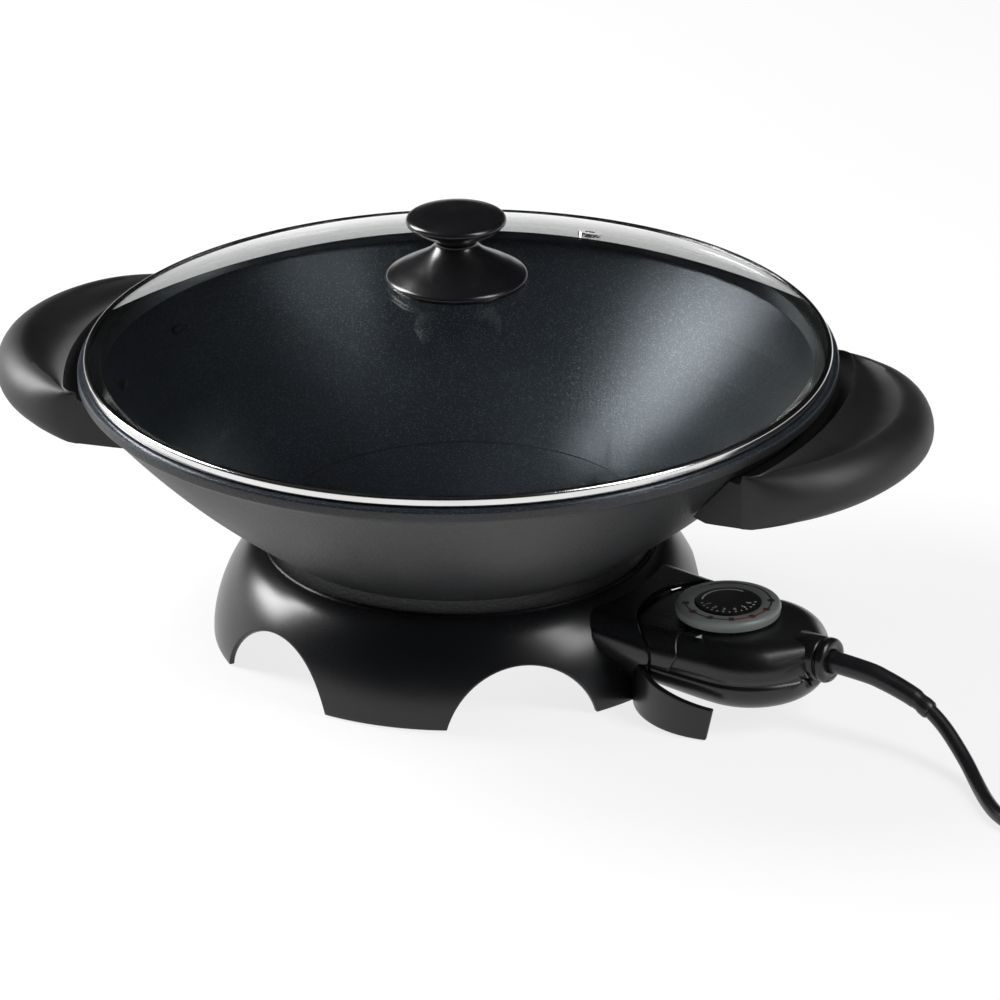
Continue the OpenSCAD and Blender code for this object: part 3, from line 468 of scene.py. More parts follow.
@dataclass(frozen=True)
class Finish:
    """A surface finish and the material that shows it.

    A finish has a main and a second colour that a soft mottle mixes, a range of roughness, a fine grain,
    and flecks where they are asked for.
    """

    name: str
    colour: Point3
    second: Point3
    rough: tuple[float, float]
    metal: float = 0.0
    mottle_scale: float = 40.0
    grain_scale: float = 900.0
    grain: float = 0.1
    grain_height: float = 0.0001
    flecks: float = 0.0
    fleck_scale: float = 1400.0
    fleck_colour: Point3 = (0.5, 0.52, 0.55)
    stretch: Point3 = (1.0, 1.0, 1.0)

    def material(self) -> bpy.types.Material:
        """The finish's material, built on first use.

        Returns:
            The material.
        """
        name = f"{self.name}_finish"
        if name in bpy.data.materials:
            return bpy.data.materials[name]
        made = bpy.data.materials.new(name)
        made.use_nodes = True
        self.dress(made)
        made.diffuse_color = (*self.colour, 1.0)
        return made

    def dress(self, made: bpy.types.Material) -> None:
        """Builds the nodes.

        Args:
            made: the new material.
        """
        nodes, links = made.node_tree.nodes, made.node_tree.links
        shader = nodes["Principled BSDF"]
        shader.inputs["Metallic"].default_value = self.metal
        place = nodes.new("ShaderNodeTexCoord")
        spot = nodes.new("ShaderNodeMapping")
        spot.inputs["Scale"].default_value = self.stretch
        links.new(place.outputs["Object"], spot.inputs["Vector"])
        cloud = self._group(made, spot, Groups.mottle(), {"Scale": self.mottle_scale})
        shown = self._mix(made, cloud, self.second)
        shown.inputs["A"].default_value = (*self.colour, 1.0)
        if self.flecks:
            dots = self._group(made, spot, Groups.flecks(),
                               {"Scale": self.fleck_scale, "Amount": self.flecks})
            under, shown = shown, self._mix(made, dots, self.fleck_colour)
            links.new(under.outputs["Result"], shown.inputs["A"])
        links.new(shown.outputs["Result"], shader.inputs["Base Color"])
        rough = nodes.new("ShaderNodeMapRange")
        rough.inputs["To Min"].default_value, rough.inputs["To Max"].default_value = self.rough
        links.new(cloud.outputs["Mask"], rough.inputs["Value"])
        links.new(rough.outputs["Result"], shader.inputs["Roughness"])
        if self.grain:
            pits = self._group(made, spot, Groups.grain(), {"Scale": self.grain_scale, "Depth": 1.0})
            bump = nodes.new("ShaderNodeBump")
            bump.inputs["Strength"].default_value = self.grain
            bump.inputs["Distance"].default_value = self.grain_height
            links.new(pits.outputs["Height"], bump.inputs["Height"])
            links.new(bump.outputs["Normal"], shader.inputs["Normal"])

    @staticmethod
    def _mix(made: bpy.types.Material, mask: bpy.types.Node, colour: Point3) -> bpy.types.Node:
        """Adds a mix that shows a colour where a mask is 1.

        Args:
            made: the material.
            mask: node whose Mask output drives the mix.
            colour: the colour shown by the mask.

        Returns:
            The mix node, its input A still free.
        """
        mix = made.node_tree.nodes.new("ShaderNodeMix")
        mix.data_type = "RGBA"
        mix.inputs["B"].default_value = (*colour, 1.0)
        made.node_tree.links.new(mask.outputs["Mask"], mix.inputs["Factor"])
        return mix

    @staticmethod
    def _group(made: bpy.types.Material, spot: bpy.types.Node, group: bpy.types.NodeTree,
               values: dict[str, float]) -> bpy.types.Node:
        """Places a shared group in a material.

        Args:
            made: the material.
            spot: node whose Vector output places the pattern.
            group: the group.
            values: values of its inputs.

        Returns:
            The group's node.
        """
        node = made.node_tree.nodes.new("ShaderNodeGroup")
        node.node_tree = group
        made.node_tree.links.new(spot.outputs["Vector"], node.inputs["Vector"])
        for socket, value in values.items():
            node.inputs[socket].default_value = value
        return node


@dataclass(frozen=True)
class Glass(Finish):
    """Clear tempered glass with a faint tint."""

    bend: float = 1.45

    def dress(self, made: bpy.types.Material) -> None:
        """Builds the nodes.

        Args:
            made: the new material.
        """
        shader = made.node_tree.nodes["Principled BSDF"]
        shader.inputs["Base Color"].default_value = (*self.colour, 1.0)
        shader.inputs["Roughness"].default_value = self.rough[0]
        shader.inputs["IOR"].default_value = self.bend
        shader.inputs["Transmission Weight"].default_value = 1.0


COATING = Finish("pan_coating", (0.020, 0.026, 0.035), (0.031, 0.039, 0.050), (0.31, 0.37), metal=0.4,
                 mottle_scale=14, grain_scale=1100, grain=0.45, grain_height=0.0002, flecks=0.34,
                 fleck_scale=1500, fleck_colour=(0.11, 0.125, 0.145))
OUTSIDE = Finish("pan_outside", (0.022, 0.023, 0.025), (0.034, 0.035, 0.037), (0.42, 0.55), metal=0.3,
                 mottle_scale=16, grain_scale=700, grain=0.6, grain_height=0.0003, flecks=0.12,
                 fleck_scale=1500, fleck_colour=(0.07, 0.074, 0.08))
HANDLE = Finish("handle_phenolic", (0.008, 0.008, 0.009), (0.013, 0.013, 0.014), (0.46, 0.56),
                mottle_scale=30, grain_scale=1500, grain=0.14)
GLOSS_BASE = Finish("base_gloss", (0.004, 0.0045, 0.006), (0.007, 0.0075, 0.009), (0.25, 0.31),
                    mottle_scale=22, grain_scale=260, grain=0.05)
GLOSS_CONTROL = Finish("control_gloss", (0.005, 0.0055, 0.006), (0.009, 0.009, 0.01), (0.25, 0.31),
                       mottle_scale=35, grain_scale=900, grain=0.08)
KNOB = Finish("knob_phenolic", (0.006, 0.006, 0.007), (0.010, 0.010, 0.011), (0.20, 0.28), mottle_scale=60,
              grain_scale=1300, grain=0.1)
CHROME = Finish("rim_chrome", (0.80, 0.80, 0.79), (0.74, 0.74, 0.73), (0.10, 0.2), metal=1.0, mottle_scale=30,
                grain_scale=700, grain=0.05)
STEEL = Finish("bare_steel", (0.55, 0.55, 0.55), (0.66, 0.66, 0.65), (0.26, 0.4), metal=1.0, mottle_scale=80,
               grain_scale=500, grain=0.2, stretch=(1, 1, 6))
ALUMINIUM = Finish("shield_aluminium", (0.62, 0.62, 0.63), (0.72, 0.72, 0.73), (0.36, 0.5), metal=1.0,
                   mottle_scale=24, grain_scale=420, grain=0.25)
BRASS = Finish("contact_brass", (0.62, 0.45, 0.2), (0.72, 0.55, 0.28), (0.25, 0.4), metal=1.0,
               mottle_scale=120)
CERAMIC = Finish("ceramic", (0.72, 0.69, 0.62), (0.8, 0.77, 0.7), (0.5, 0.65), mottle_scale=150,
                 grain_scale=1800)
PHENOLIC_BROWN = Finish("phenolic_brown", (0.09, 0.045, 0.025), (0.12, 0.065, 0.035), (0.4, 0.55),
                        mottle_scale=160)
RUBBER = Finish("pad_rubber", (0.02, 0.02, 0.021), (0.03, 0.03, 0.031), (0.6, 0.75), mottle_scale=200,
                grain_scale=1600, grain=0.3)
SILICONE = Finish("silicone", (0.06, 0.06, 0.065), (0.075, 0.075, 0.08), (0.5, 0.6), mottle_scale=150)
LEAD = Finish("lead_sheath", (0.010, 0.010, 0.012), (0.016, 0.016, 0.018), (0.30, 0.42), mottle_scale=60,
              grain_scale=900, grain=0.15)
PLUG = Finish("plug_moulding", (0.010, 0.010, 0.011), (0.016, 0.016, 0.017), (0.4, 0.52), mottle_scale=60,
              grain_scale=1200, grain=0.3)
DIAL_GREY = Finish("dial_grey", (0.19, 0.21, 0.20), (0.22, 0.245, 0.232), (0.38, 0.48), mottle_scale=90,
                   grain_scale=1600, grain=0.12)
DIAL_BLACK = Finish("dial_black", (0.002, 0.002, 0.0025), (0.004, 0.004, 0.0045), (0.3, 0.36),
                    mottle_scale=90)
PRINT_WHITE = Finish("print_white", (0.62, 0.62, 0.61), (0.7, 0.7, 0.69), (0.45, 0.55), mottle_scale=400)
PRINT_RED = Finish("print_red", (0.16, 0.018, 0.014), (0.22, 0.03, 0.02), (0.4, 0.5), mottle_scale=400)
PRINT_DARK = Finish("print_dark", (0.012, 0.010, 0.010), (0.02, 0.016, 0.016), (0.35, 0.45), mottle_scale=400)
LID_GLASS = Glass("lid_glass", (0.955, 0.975, 0.97), (0.955, 0.975, 0.97), (0.0, 0.0))


# ---------------------------------------------------------------- camera, lamps and floor


@dataclass(frozen=True)
class Camera:
    """The photograph's camera, solved from the circles of the lid, the base and the feet."""

    distance: float = 3000.0
    elevation: float = 25.28
    azimuth: float = 19.6
    yaw: float = -0.37
    pitch: float = 1.14
    roll: float = 0.92
    lens: float = 220.25
    sensor: float = 36.0

    def build(self) -> None:
        """Makes the camera and gives it to the scene."""
        high, turn = math.radians(self.elevation), Matrix.Rotation(math.radians(self.azimuth), 3, "Z")
        eye = self.distance * Vector((0, -math.cos(high), math.sin(high)))
        ahead, right = -eye.normalized(), Vector((1, 0, 0))
        up = right.cross(ahead)
        sway = Matrix.Rotation(math.radians(self.yaw), 3, up)
        ahead, right = sway @ ahead, sway @ right
        nod = Matrix.Rotation(math.radians(self.pitch), 3, right)
        ahead, up = nod @ ahead, nod @ up
        lean = Matrix.Rotation(math.radians(self.roll), 3, ahead)
        right, up = lean @ right, lean @ up
        data = bpy.data.cameras.new("camera")
        data.lens, data.sensor_width = self.lens, self.sensor
        data.clip_start, data.clip_end = 0.1, 100.0
        camera = bpy.data.objects.new("camera", data)
        axes = turn @ Matrix((right, up, -ahead)).transposed()
        camera.matrix_world = Matrix.Translation(turn @ eye * METRES) @ axes.to_4x4()
        bpy.context.scene.collection.objects.link(camera)
        bpy.context.scene.camera = camera


@dataclass(frozen=True)
class Lamp:
    """A rectangular soft light that looks at a point near the wok; sizes in metres."""

    name: str
    place: Point3
    size: Point
    watts: float
    aim: Point3 = (0.0, 0.0, 0.08)

    def build(self) -> None:
        """Makes the lamp."""
        data = bpy.data.lights.new(self.name, "AREA")
        data.shape = "RECTANGLE"
        data.size, data.size_y = self.size
        data.energy = self.watts
        lamp = bpy.data.objects.new(self.name, data)
        lamp.location = self.place
        lamp.rotation_euler = (Vector(self.aim) - Vector(self.place)).to_track_quat("-Z", "Y").to_euler()
        bpy.context.scene.collection.objects.link(lamp)


@dataclass
class Studio:
    """White sweep, soft lamps and the camera."""

    lamps: tuple[Lamp, ...] = (
        Lamp("left_softbox", (-1.6, 0.08, 1.05), (0.8, 1.3), 66),
        Lamp("right_softbox", (1.3, -0.26, 1.2), (0.5, 1.3), 20),
    )
    floor_reach: float = 6.0
    floor_glow: float = 0.80
    world_level: float = 0.42
    cloth: tuple[Point, ...] = ((3.7, 0.3), (3.7, 1.9), (3.0, 2.3), (0.0, 2.4))

    def build(self) -> None:
        """Builds the whole studio."""
        Camera().build()
        for lamp in self.lamps:
            lamp.build()
        self._floor()
        self._cloth()
        self._world()
        bpy.context.scene.view_settings.view_transform = "Standard"

    @staticmethod
    def _stand(bm: bmesh.types.BMesh, name: str, cover: bpy.types.Material) -> bpy.types.Object:
        """Makes a thing of the studio, which is no piece of the part.

        Args:
            bm: its shape in metres; it is freed.
            name: its name.
            cover: its material.

        Returns:
            The object.
        """
        mesh = bpy.data.meshes.new(name)
        bm.to_mesh(mesh)
        bm.free()
        mesh.materials.append(cover)
        made = bpy.data.objects.new(name, mesh)
        bpy.context.scene.collection.objects.link(made)
        return made

    @staticmethod
    def _matte(name: str, colour: Point3, rough: float) -> bpy.types.Material:
        """Material without gloss.

        Args:
            name: its name.
            colour: its colour.
            rough: its roughness.

        Returns:
            The material.
        """
        made = bpy.data.materials.new(name)
        made.use_nodes = True
        shader = made.node_tree.nodes["Principled BSDF"]
        shader.inputs["Base Color"].default_value = (*colour, 1.0)
        shader.inputs["Roughness"].default_value = rough
        shader.inputs["Specular IOR Level"].default_value = 0.0
        return made

    @staticmethod
    def _show_white(tree: bpy.types.NodeTree, usual: str, bright: str, output: str, share: float) -> None:
        """Shows white to rays from the camera, through glass and off gloss, and the usual shader to others.

        Args:
            tree: the node tree.
            usual: name of the usual shader's node.
            bright: type of the white shader's node.
            output: name of the output node.
            share: how much of the white those rays see.
        """
        path = tree.nodes.new("ShaderNodeLightPath")
        direct = maths(tree, "MAXIMUM", path.outputs["Is Camera Ray"], path.outputs["Is Transmission Ray"])
        seen = maths(tree, "MAXIMUM", direct, path.outputs["Is Glossy Ray"])
        mix = tree.nodes.new("ShaderNodeMixShader")
        tree.links.new(maths(tree, "MULTIPLY", seen, share), mix.inputs["Fac"])
        tree.links.new(tree.nodes[usual].outputs[0], mix.inputs[1])
        tree.links.new(tree.nodes.new(bright).outputs[0], mix.inputs[2])
        tree.links.new(mix.outputs[0], tree.nodes[output].inputs["Surface"])

    def _floor(self) -> None:
        """Pale floor that keeps the shadow and shows white to the camera."""
        bm = bmesh.new()
        bmesh.ops.create_grid(bm, x_segments=2, y_segments=2, size=self.floor_reach)
        cover = self._matte("floor_white", (0.93, 0.93, 0.93), 0.9)
        self._show_white(cover.node_tree, "Principled BSDF", "ShaderNodeEmission", "Material Output",
                         self.floor_glow)
        self._stand(bm, "floor", cover)

    def _cloth(self) -> None:
        """Dark cloth round and above the table, as a studio hangs it to keep gloss black.

        It stays out of the camera's sight.
        """
        bm = bmesh.new()
        spun(bm, self.cloth, 64)
        cloth = self._stand(bm, "dark_cloth", self._matte("cloth_dark", (0.02, 0.02, 0.022), 0.95))
        cloth.visible_camera = False

    def _world(self) -> None:
        """Even pale surroundings; the camera sees plain white."""
        world = bpy.data.worlds.new("studio")
        world.use_nodes = True
        light = world.node_tree.nodes["Background"]
        light.inputs["Color"].default_value = (1, 1, 1, 1)
        light.inputs["Strength"].default_value = self.world_level
        self._show_white(world.node_tree, "Background", "ShaderNodeBackground", "World Output", 1.0)
        bpy.context.scene.world = world


# ---------------------------------------------------------------- lead


@dataclass
class Lead:
    """Mains lead: strain relief, free run, coil and the run to the plug.  Its route repeats the frame's own.
    """

    diameter: float = 7.0
    collar_end: float = 214.4
    start: float = 206.0
    height: float = 36.0
    relief_diameter: float = 10.8
    route: tuple[Point3, ...] = (
        (225, -65.5, 35.2), (233, -67.5, 33.6), (241, -69, 31), (249, -71, 28), (257, -74, 24),
        (265, -78.5, 19), (272.5, -84.5, 13.5), (279.5, -91.5, 8.5), (285.5, -99.5, 5), (291, -108.5, 3.7),
        (297, -118.5, 3.5), (304, -128, 3.5), (313, -136, 3.5), (324, -142, 3.5), (336, -145.5, 3.5),
        (348, -147, 3.8), (360, -146, 4.3))
    coil_turns: float = 1.4
    coil_radius: float = 43.0
    climb: float = 0.5
    lead_out: float = 34.0
    plug_height: float = 19.0
    rings: int = 24
    points: list[Vector] = field(default_factory=list)

    def build(self) -> None:
        """Builds the lead and its strain relief."""
        free = [tuple(polar(self.start, CONTROL_AZIMUTH, self.height)),
                tuple(polar(self.collar_end + 2, CONTROL_AZIMUTH, self.height)), *self.route]
        self.points = [Vector(p) for p in flow(free, 4)]
        self._wind()
        made = self._sheath()
        relief = self._relief(free[:7])

    def _wind(self) -> None:
        """Adds the coil's turns and the run to the plug to the points."""
        step = self.points[-1] - self.points[-2]
        along = Vector((step.x, step.y, 0)).normalized()
        start = self.points[-1] + self.diameter * along
        pitch = self.diameter + 0.7
        middle = start + self.diameter * along + self.coil_radius * Vector((-along.y, along.x, 0))
        first = math.degrees(math.atan2(along.y, along.x)) - 90
        total = 2 * self.coil_turns + self.climb
        inner = self.coil_radius - pitch * self.coil_turns
        self.points.append(start)
        count = round(total * self.rings)
        for i in range(count + 1):
            u = total * i / count
            w = (u - self.coil_turns) / self.climb
            if w < 0:
                radius, rise = self.coil_radius - pitch * u, 0.0
            elif w < 1:
                radius = inner - 0.27 * pitch * math.sin(math.pi * w)
                rise = 0.5 - 0.5 * math.cos(math.pi * w)
            else:
                radius, rise = inner + pitch * (u - self.coil_turns - self.climb), 1.0
            spot = middle + polar(radius, first + 360 * u)
            self.points.append(Vector((spot.x, spot.y, start.z + pitch * rise)))
        end = self.points[-1]
        away = polar(1.0, first + 360 * total + 90)
        for i in range(1, 5):
            t = i / 4
            rise = (self.plug_height - end.z) * (0.5 - 0.5 * math.cos(math.pi * t))
            self.points.append(end + self.lead_out * t * away + Vector((0, 0, rise)))
        self.points.append(self.points[-1] + self.diameter * away)

    def _sheath(self) -> bpy.types.Object:
        """The lead itself, one open curve.

        Returns:
            The curve object.
        """
        data = bpy.data.curves.new("mains_lead", "CURVE")
        data.dimensions = "3D"
        data.bevel_depth = self.diameter / 2 * METRES
        data.bevel_resolution = 5
        data.use_fill_caps = True
        spline = data.splines.new("POLY")
        spline.points.add(len(self.points) - 1)
        for spot, p in zip(spline.points, self.points):
            spot.co = (*(p * METRES), 1.0)
        spline.use_smooth = True
        data.materials.append(LEAD.material())
        made = bpy.data.objects.new("mains_lead", data)
        bpy.context.scene.collection.objects.link(made)
        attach(made, Body.CONTROL.value)
        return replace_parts(made, "power_cord", "cord_coil")

    def _relief(self, course: Sequence[Point3]) -> bpy.types.Object:
        """Tapered strain relief with a small end ring.

        Args:
            course: the points of the lead that it covers.

        Returns:
            The piece.
        """
        taper, groove_depth, groove_start, groove_end, end_round = 0.9, 0.35, 0.86, 0.9, 0.5
        path = flow(course, 6)
        last = len(path) - 1
        thick = self.relief_diameter / 2
        radii = []
        for i in range(last + 1):
            t = i / last
            radii.append(thick - taper * t - (groove_depth if groove_start < t < groove_end else 0.0))
        radii[-1] = radii[-1] - end_round
        bm = bmesh.new()
        tube_along(bm, path, radii, 32)
        return piece(bm, "lead_strain_relief", LEAD, Body.CONTROL, replaces=["strain_relief"])


# ---------------------------------------------------------------- pan


@dataclass
class Pan:
    """Cast pan with its foot ring, terminal block, bosses and handle lugs."""

    rim_radius: float = 183.0
    height: float = 142.0
    rim_height: float = 6.0
    wall: float = 4.0
    side_radius: float = 400.0
    flat: float = 30.0
    foot_ring: float = 93.5
    ring_wall: float = 4.0
    shelf: float = 44.5
    side_foot_height: float = 57.0
    element_radius: float = 50.0
    element_height: float = 31.0
    lug_angle: float = 13.0
    lug_height: float = 117.0
    lug_end: float = 197.0

    def __post_init__(self) -> None:
        """Works out the tangent arcs of the side."""
        top = Vector((self.rim_radius - 2, self.height - self.rim_height))
        foot = Vector((self.foot_ring + 2.5, self.side_foot_height))
        chord = top - foot
        angle = math.atan2(chord.y, chord.x)
        half = math.asin(chord.length / 2 / self.side_radius)
        self.low_slope, self.high_slope = angle - half, angle + half
        self.side_centre = foot + self.side_radius * Vector(
            (-math.sin(self.low_slope), math.cos(self.low_slope)))
        self.low_radius = (foot.x - self.flat) / math.sin(self.low_slope)
        self.low_centre = Vector((self.flat, foot.y + self.low_radius * math.cos(self.low_slope)))
        self.bottom = self.low_centre.y - self.low_radius

    def side(self, inset: float) -> list[Point]:
        """Profile of the bowl from its middle to its rim.

        Args:
            inset: distance from the outside.

        Returns:
            Points of (radius, height).
        """
        low, high = math.degrees(self.low_slope), math.degrees(self.high_slope)
        return [(0.0, self.bottom + inset),
                *arc(tuple(self.low_centre), self.low_radius - inset, -90, low - 90, 22),
                *arc(tuple(self.side_centre), self.side_radius - inset, low - 89.6, high - 90, 30)]

    def outside(self, z: float) -> float:
        """Finds the outside of the bowl's side.

        Args:
            z: height.

        Returns:
            Its outer radius there.
        """
        return self.side_centre.x + math.sqrt(self.side_radius**2 - (z - self.side_centre.y) ** 2)

    def build(self) -> None:
        """Builds the pan in two pieces: the coated inside and the outside casting."""
        inner = self.side(self.wall)
        lip_in = inner[-1][0]
        bm = bmesh.new()
        lip = [(lip_in + 0.15, self.height - 0.9), (lip_in + 0.5, self.height - 0.3),
               (lip_in + 1.2, self.height)]
        band = [(self.rim_radius - 1.4, self.height), (self.rim_radius - 0.4, self.height - 0.4),
                (self.rim_radius, self.height - 1.4)]
        spun(bm, [*inner, (lip_in, self.height - 2.0), *lip, *band], 220)
        piece(bm, "pan_inside", COATING, Body.WOK, replaces=["wok_pan"])
        bm = bmesh.new()
        outer = self.side(0)
        edge = [(self.rim_radius - 0.4, self.height - self.rim_height + 0.5),
                (self.rim_radius, self.height - self.rim_height + 1.4), (self.rim_radius, self.height - 1.4)]
        spun(bm, [*outer, *edge], 220)
        ring, low, high = self.foot_ring, self.shelf, self.side_foot_height
        inside = ring - self.ring_wall
        spun(bm, [(inside, high + 1), (inside, low + 0.8), (inside + 0.8, low), (ring - 0.8, low),
                  (ring, low + 0.8), (ring, high - 1), (ring + 0.6, high + 0.2)], 160)
        ridge = arc((self.element_radius, self.element_height), 6.5, 180, 360, 16)
        spun(bm, [(self.element_radius - 6.5, self.bottom + 2.5), *ridge,
                  (self.element_radius + 6.5, self.bottom + 2.5)], 120)
        self._lugs(bm)
        self._bosses(bm)
        self._terminal_block(bm)
        piece(bm, "pan_casting", OUTSIDE, Body.WOK)

    def _lugs(self, bm: bmesh.types.BMesh) -> None:
        """Cast lugs that carry the handles."""
        for azimuth in (self.lug_angle, -self.lug_angle, 180 + self.lug_angle, 180 - self.lug_angle):
            block(bm, (self.outside(self.lug_height) - 3, -6, self.lug_height),
                  (self.lug_end, 6, self.lug_height + 6), 0.8, Matrix.Rotation(math.radians(azimuth), 4, "Z"))

    def _bosses(self, bm: bmesh.types.BMesh) -> None:
        """Screw bosses under the pan."""
        circle, radius, top, low = 72.0, 5.5, 49, 37
        for turn in (60, 180, 300):
            spot = polar(circle, CONTROL_AZIMUTH + turn)
            spun(bm, [(0, top), (radius, top), (radius, low + 0.6), (radius - 0.6, low), (0, low)], 32,
                 centre=(spot.x, spot.y))

    def _terminal_block(self, bm: bmesh.types.BMesh) -> None:
        """Block cast round the probe's bore and the element's ends."""
        z = self.element_height - 1
        section = [(18.2, 15), (-18.2, 15), *arc((-12, 0), 6.2, 180, 270, 8), *arc((12, 0), 6.2, 270, 360, 8)]
        stations = [[(x, y, z + h) for y, h in section] for x in (34.0, 83.5)]
        part = bmesh.new()
        loft(part, stations, closed=True, capped=True)
        add(bm, part, TURN_OUT)


# ---------------------------------------------------------------- handles


@dataclass
class Handle:
    """Scoop handle that wraps the pan's rim, built from radial sections."""

    pan: Pan
    tip: float = 233.7
    half_angle: float = 25.5
    lip: float = 138.0
    low: float = 112.0
    hollow: float = 7.0
    grip_low: float = 105.0
    gutter: float = 129.0
    steps: int = 84

    def reach(self, s: float) -> float:
        """Outline of the handle in plan, a squarish round.

        Args:
            s: place along the handle, 0 in the middle and 1 at the end.

        Returns:
            The outline's distance from the pan's axis.
        """
        root, power = self.pan.rim_radius + 1.5, 1.8
        return root + (self.tip - root) * max(0.0, 1 - abs(s) ** power) ** (1 / power)

    def section(self, s: float) -> list[Point]:
        """Closed section of the handle.

        Args:
            s: place along the handle, 0 in the middle and 1 at the end.

        Returns:
            Points of (radius, height).
        """
        rim = self.pan.rim_radius
        tip = self.reach(s)
        out = tip - rim
        ridge = rim + min(7.0, 1 + out * 0.35)
        lip, low = self.lip - 5 * s**3, self.low - 5 * s**2
        rounding = min(15.0, out * 0.5 + 1)
        middle = (lip + low) / 2 - 2
        edge = max(ridge + 0.6, tip - rounding)
        dip = self.hollow * (1 - s * s) * min(1.0, out / 40)
        root = self.pan.outside(self.grip_low)
        under = [(root + 14 + (edge - 2 - root - 14) * t, low - 3 * (1 - t)) for t in (0, 0.25, 0.5, 0.75, 1)]
        nose = []
        for i in range(1, 18):
            a = math.radians(-90 + 180 * i / 18)
            span = middle - low if a < 0 else lip - middle
            nose.append((edge + (tip - edge) * math.cos(a), middle + span * math.sin(a)))
        top = []
        for i in range(13):
            t = i / 12
            top.append((edge + (ridge - edge) * t,
                        lip + (self.lip - 1 - 3 * s * s - lip) * t - dip * math.sin(math.pi * t)))
        inner = [(rim + 0.8, self.gutter + 1.5), (rim - 1, self.gutter),
                 (self.pan.outside(self.gutter) + 1.15, self.gutter)]
        return [(root + 0.15, self.grip_low - 1), (root + 8, self.grip_low - 2), *under, *nose, *top, *inner]

    def build(self, name: str, node: str, turn: float) -> None:
        """Builds one handle.

        Args:
            name: the piece's name.
            node: the frame's node that it stands for.
            turn: its azimuth in degrees.
        """
        stations = []
        for k in range(self.steps + 1):
            s = 2 * k / self.steps - 1
            azimuth = turn + self.half_angle * s
            stations.append([tuple(polar(r, azimuth, z)) for r, z in self.section(abs(s))])
        bm = bmesh.new()
        loft(bm, stations, closed=True, capped=True)
        piece(bm, name, HANDLE, Body.WOK, replaces=[node], crease=50)


# ---------------------------------------------------------------- base


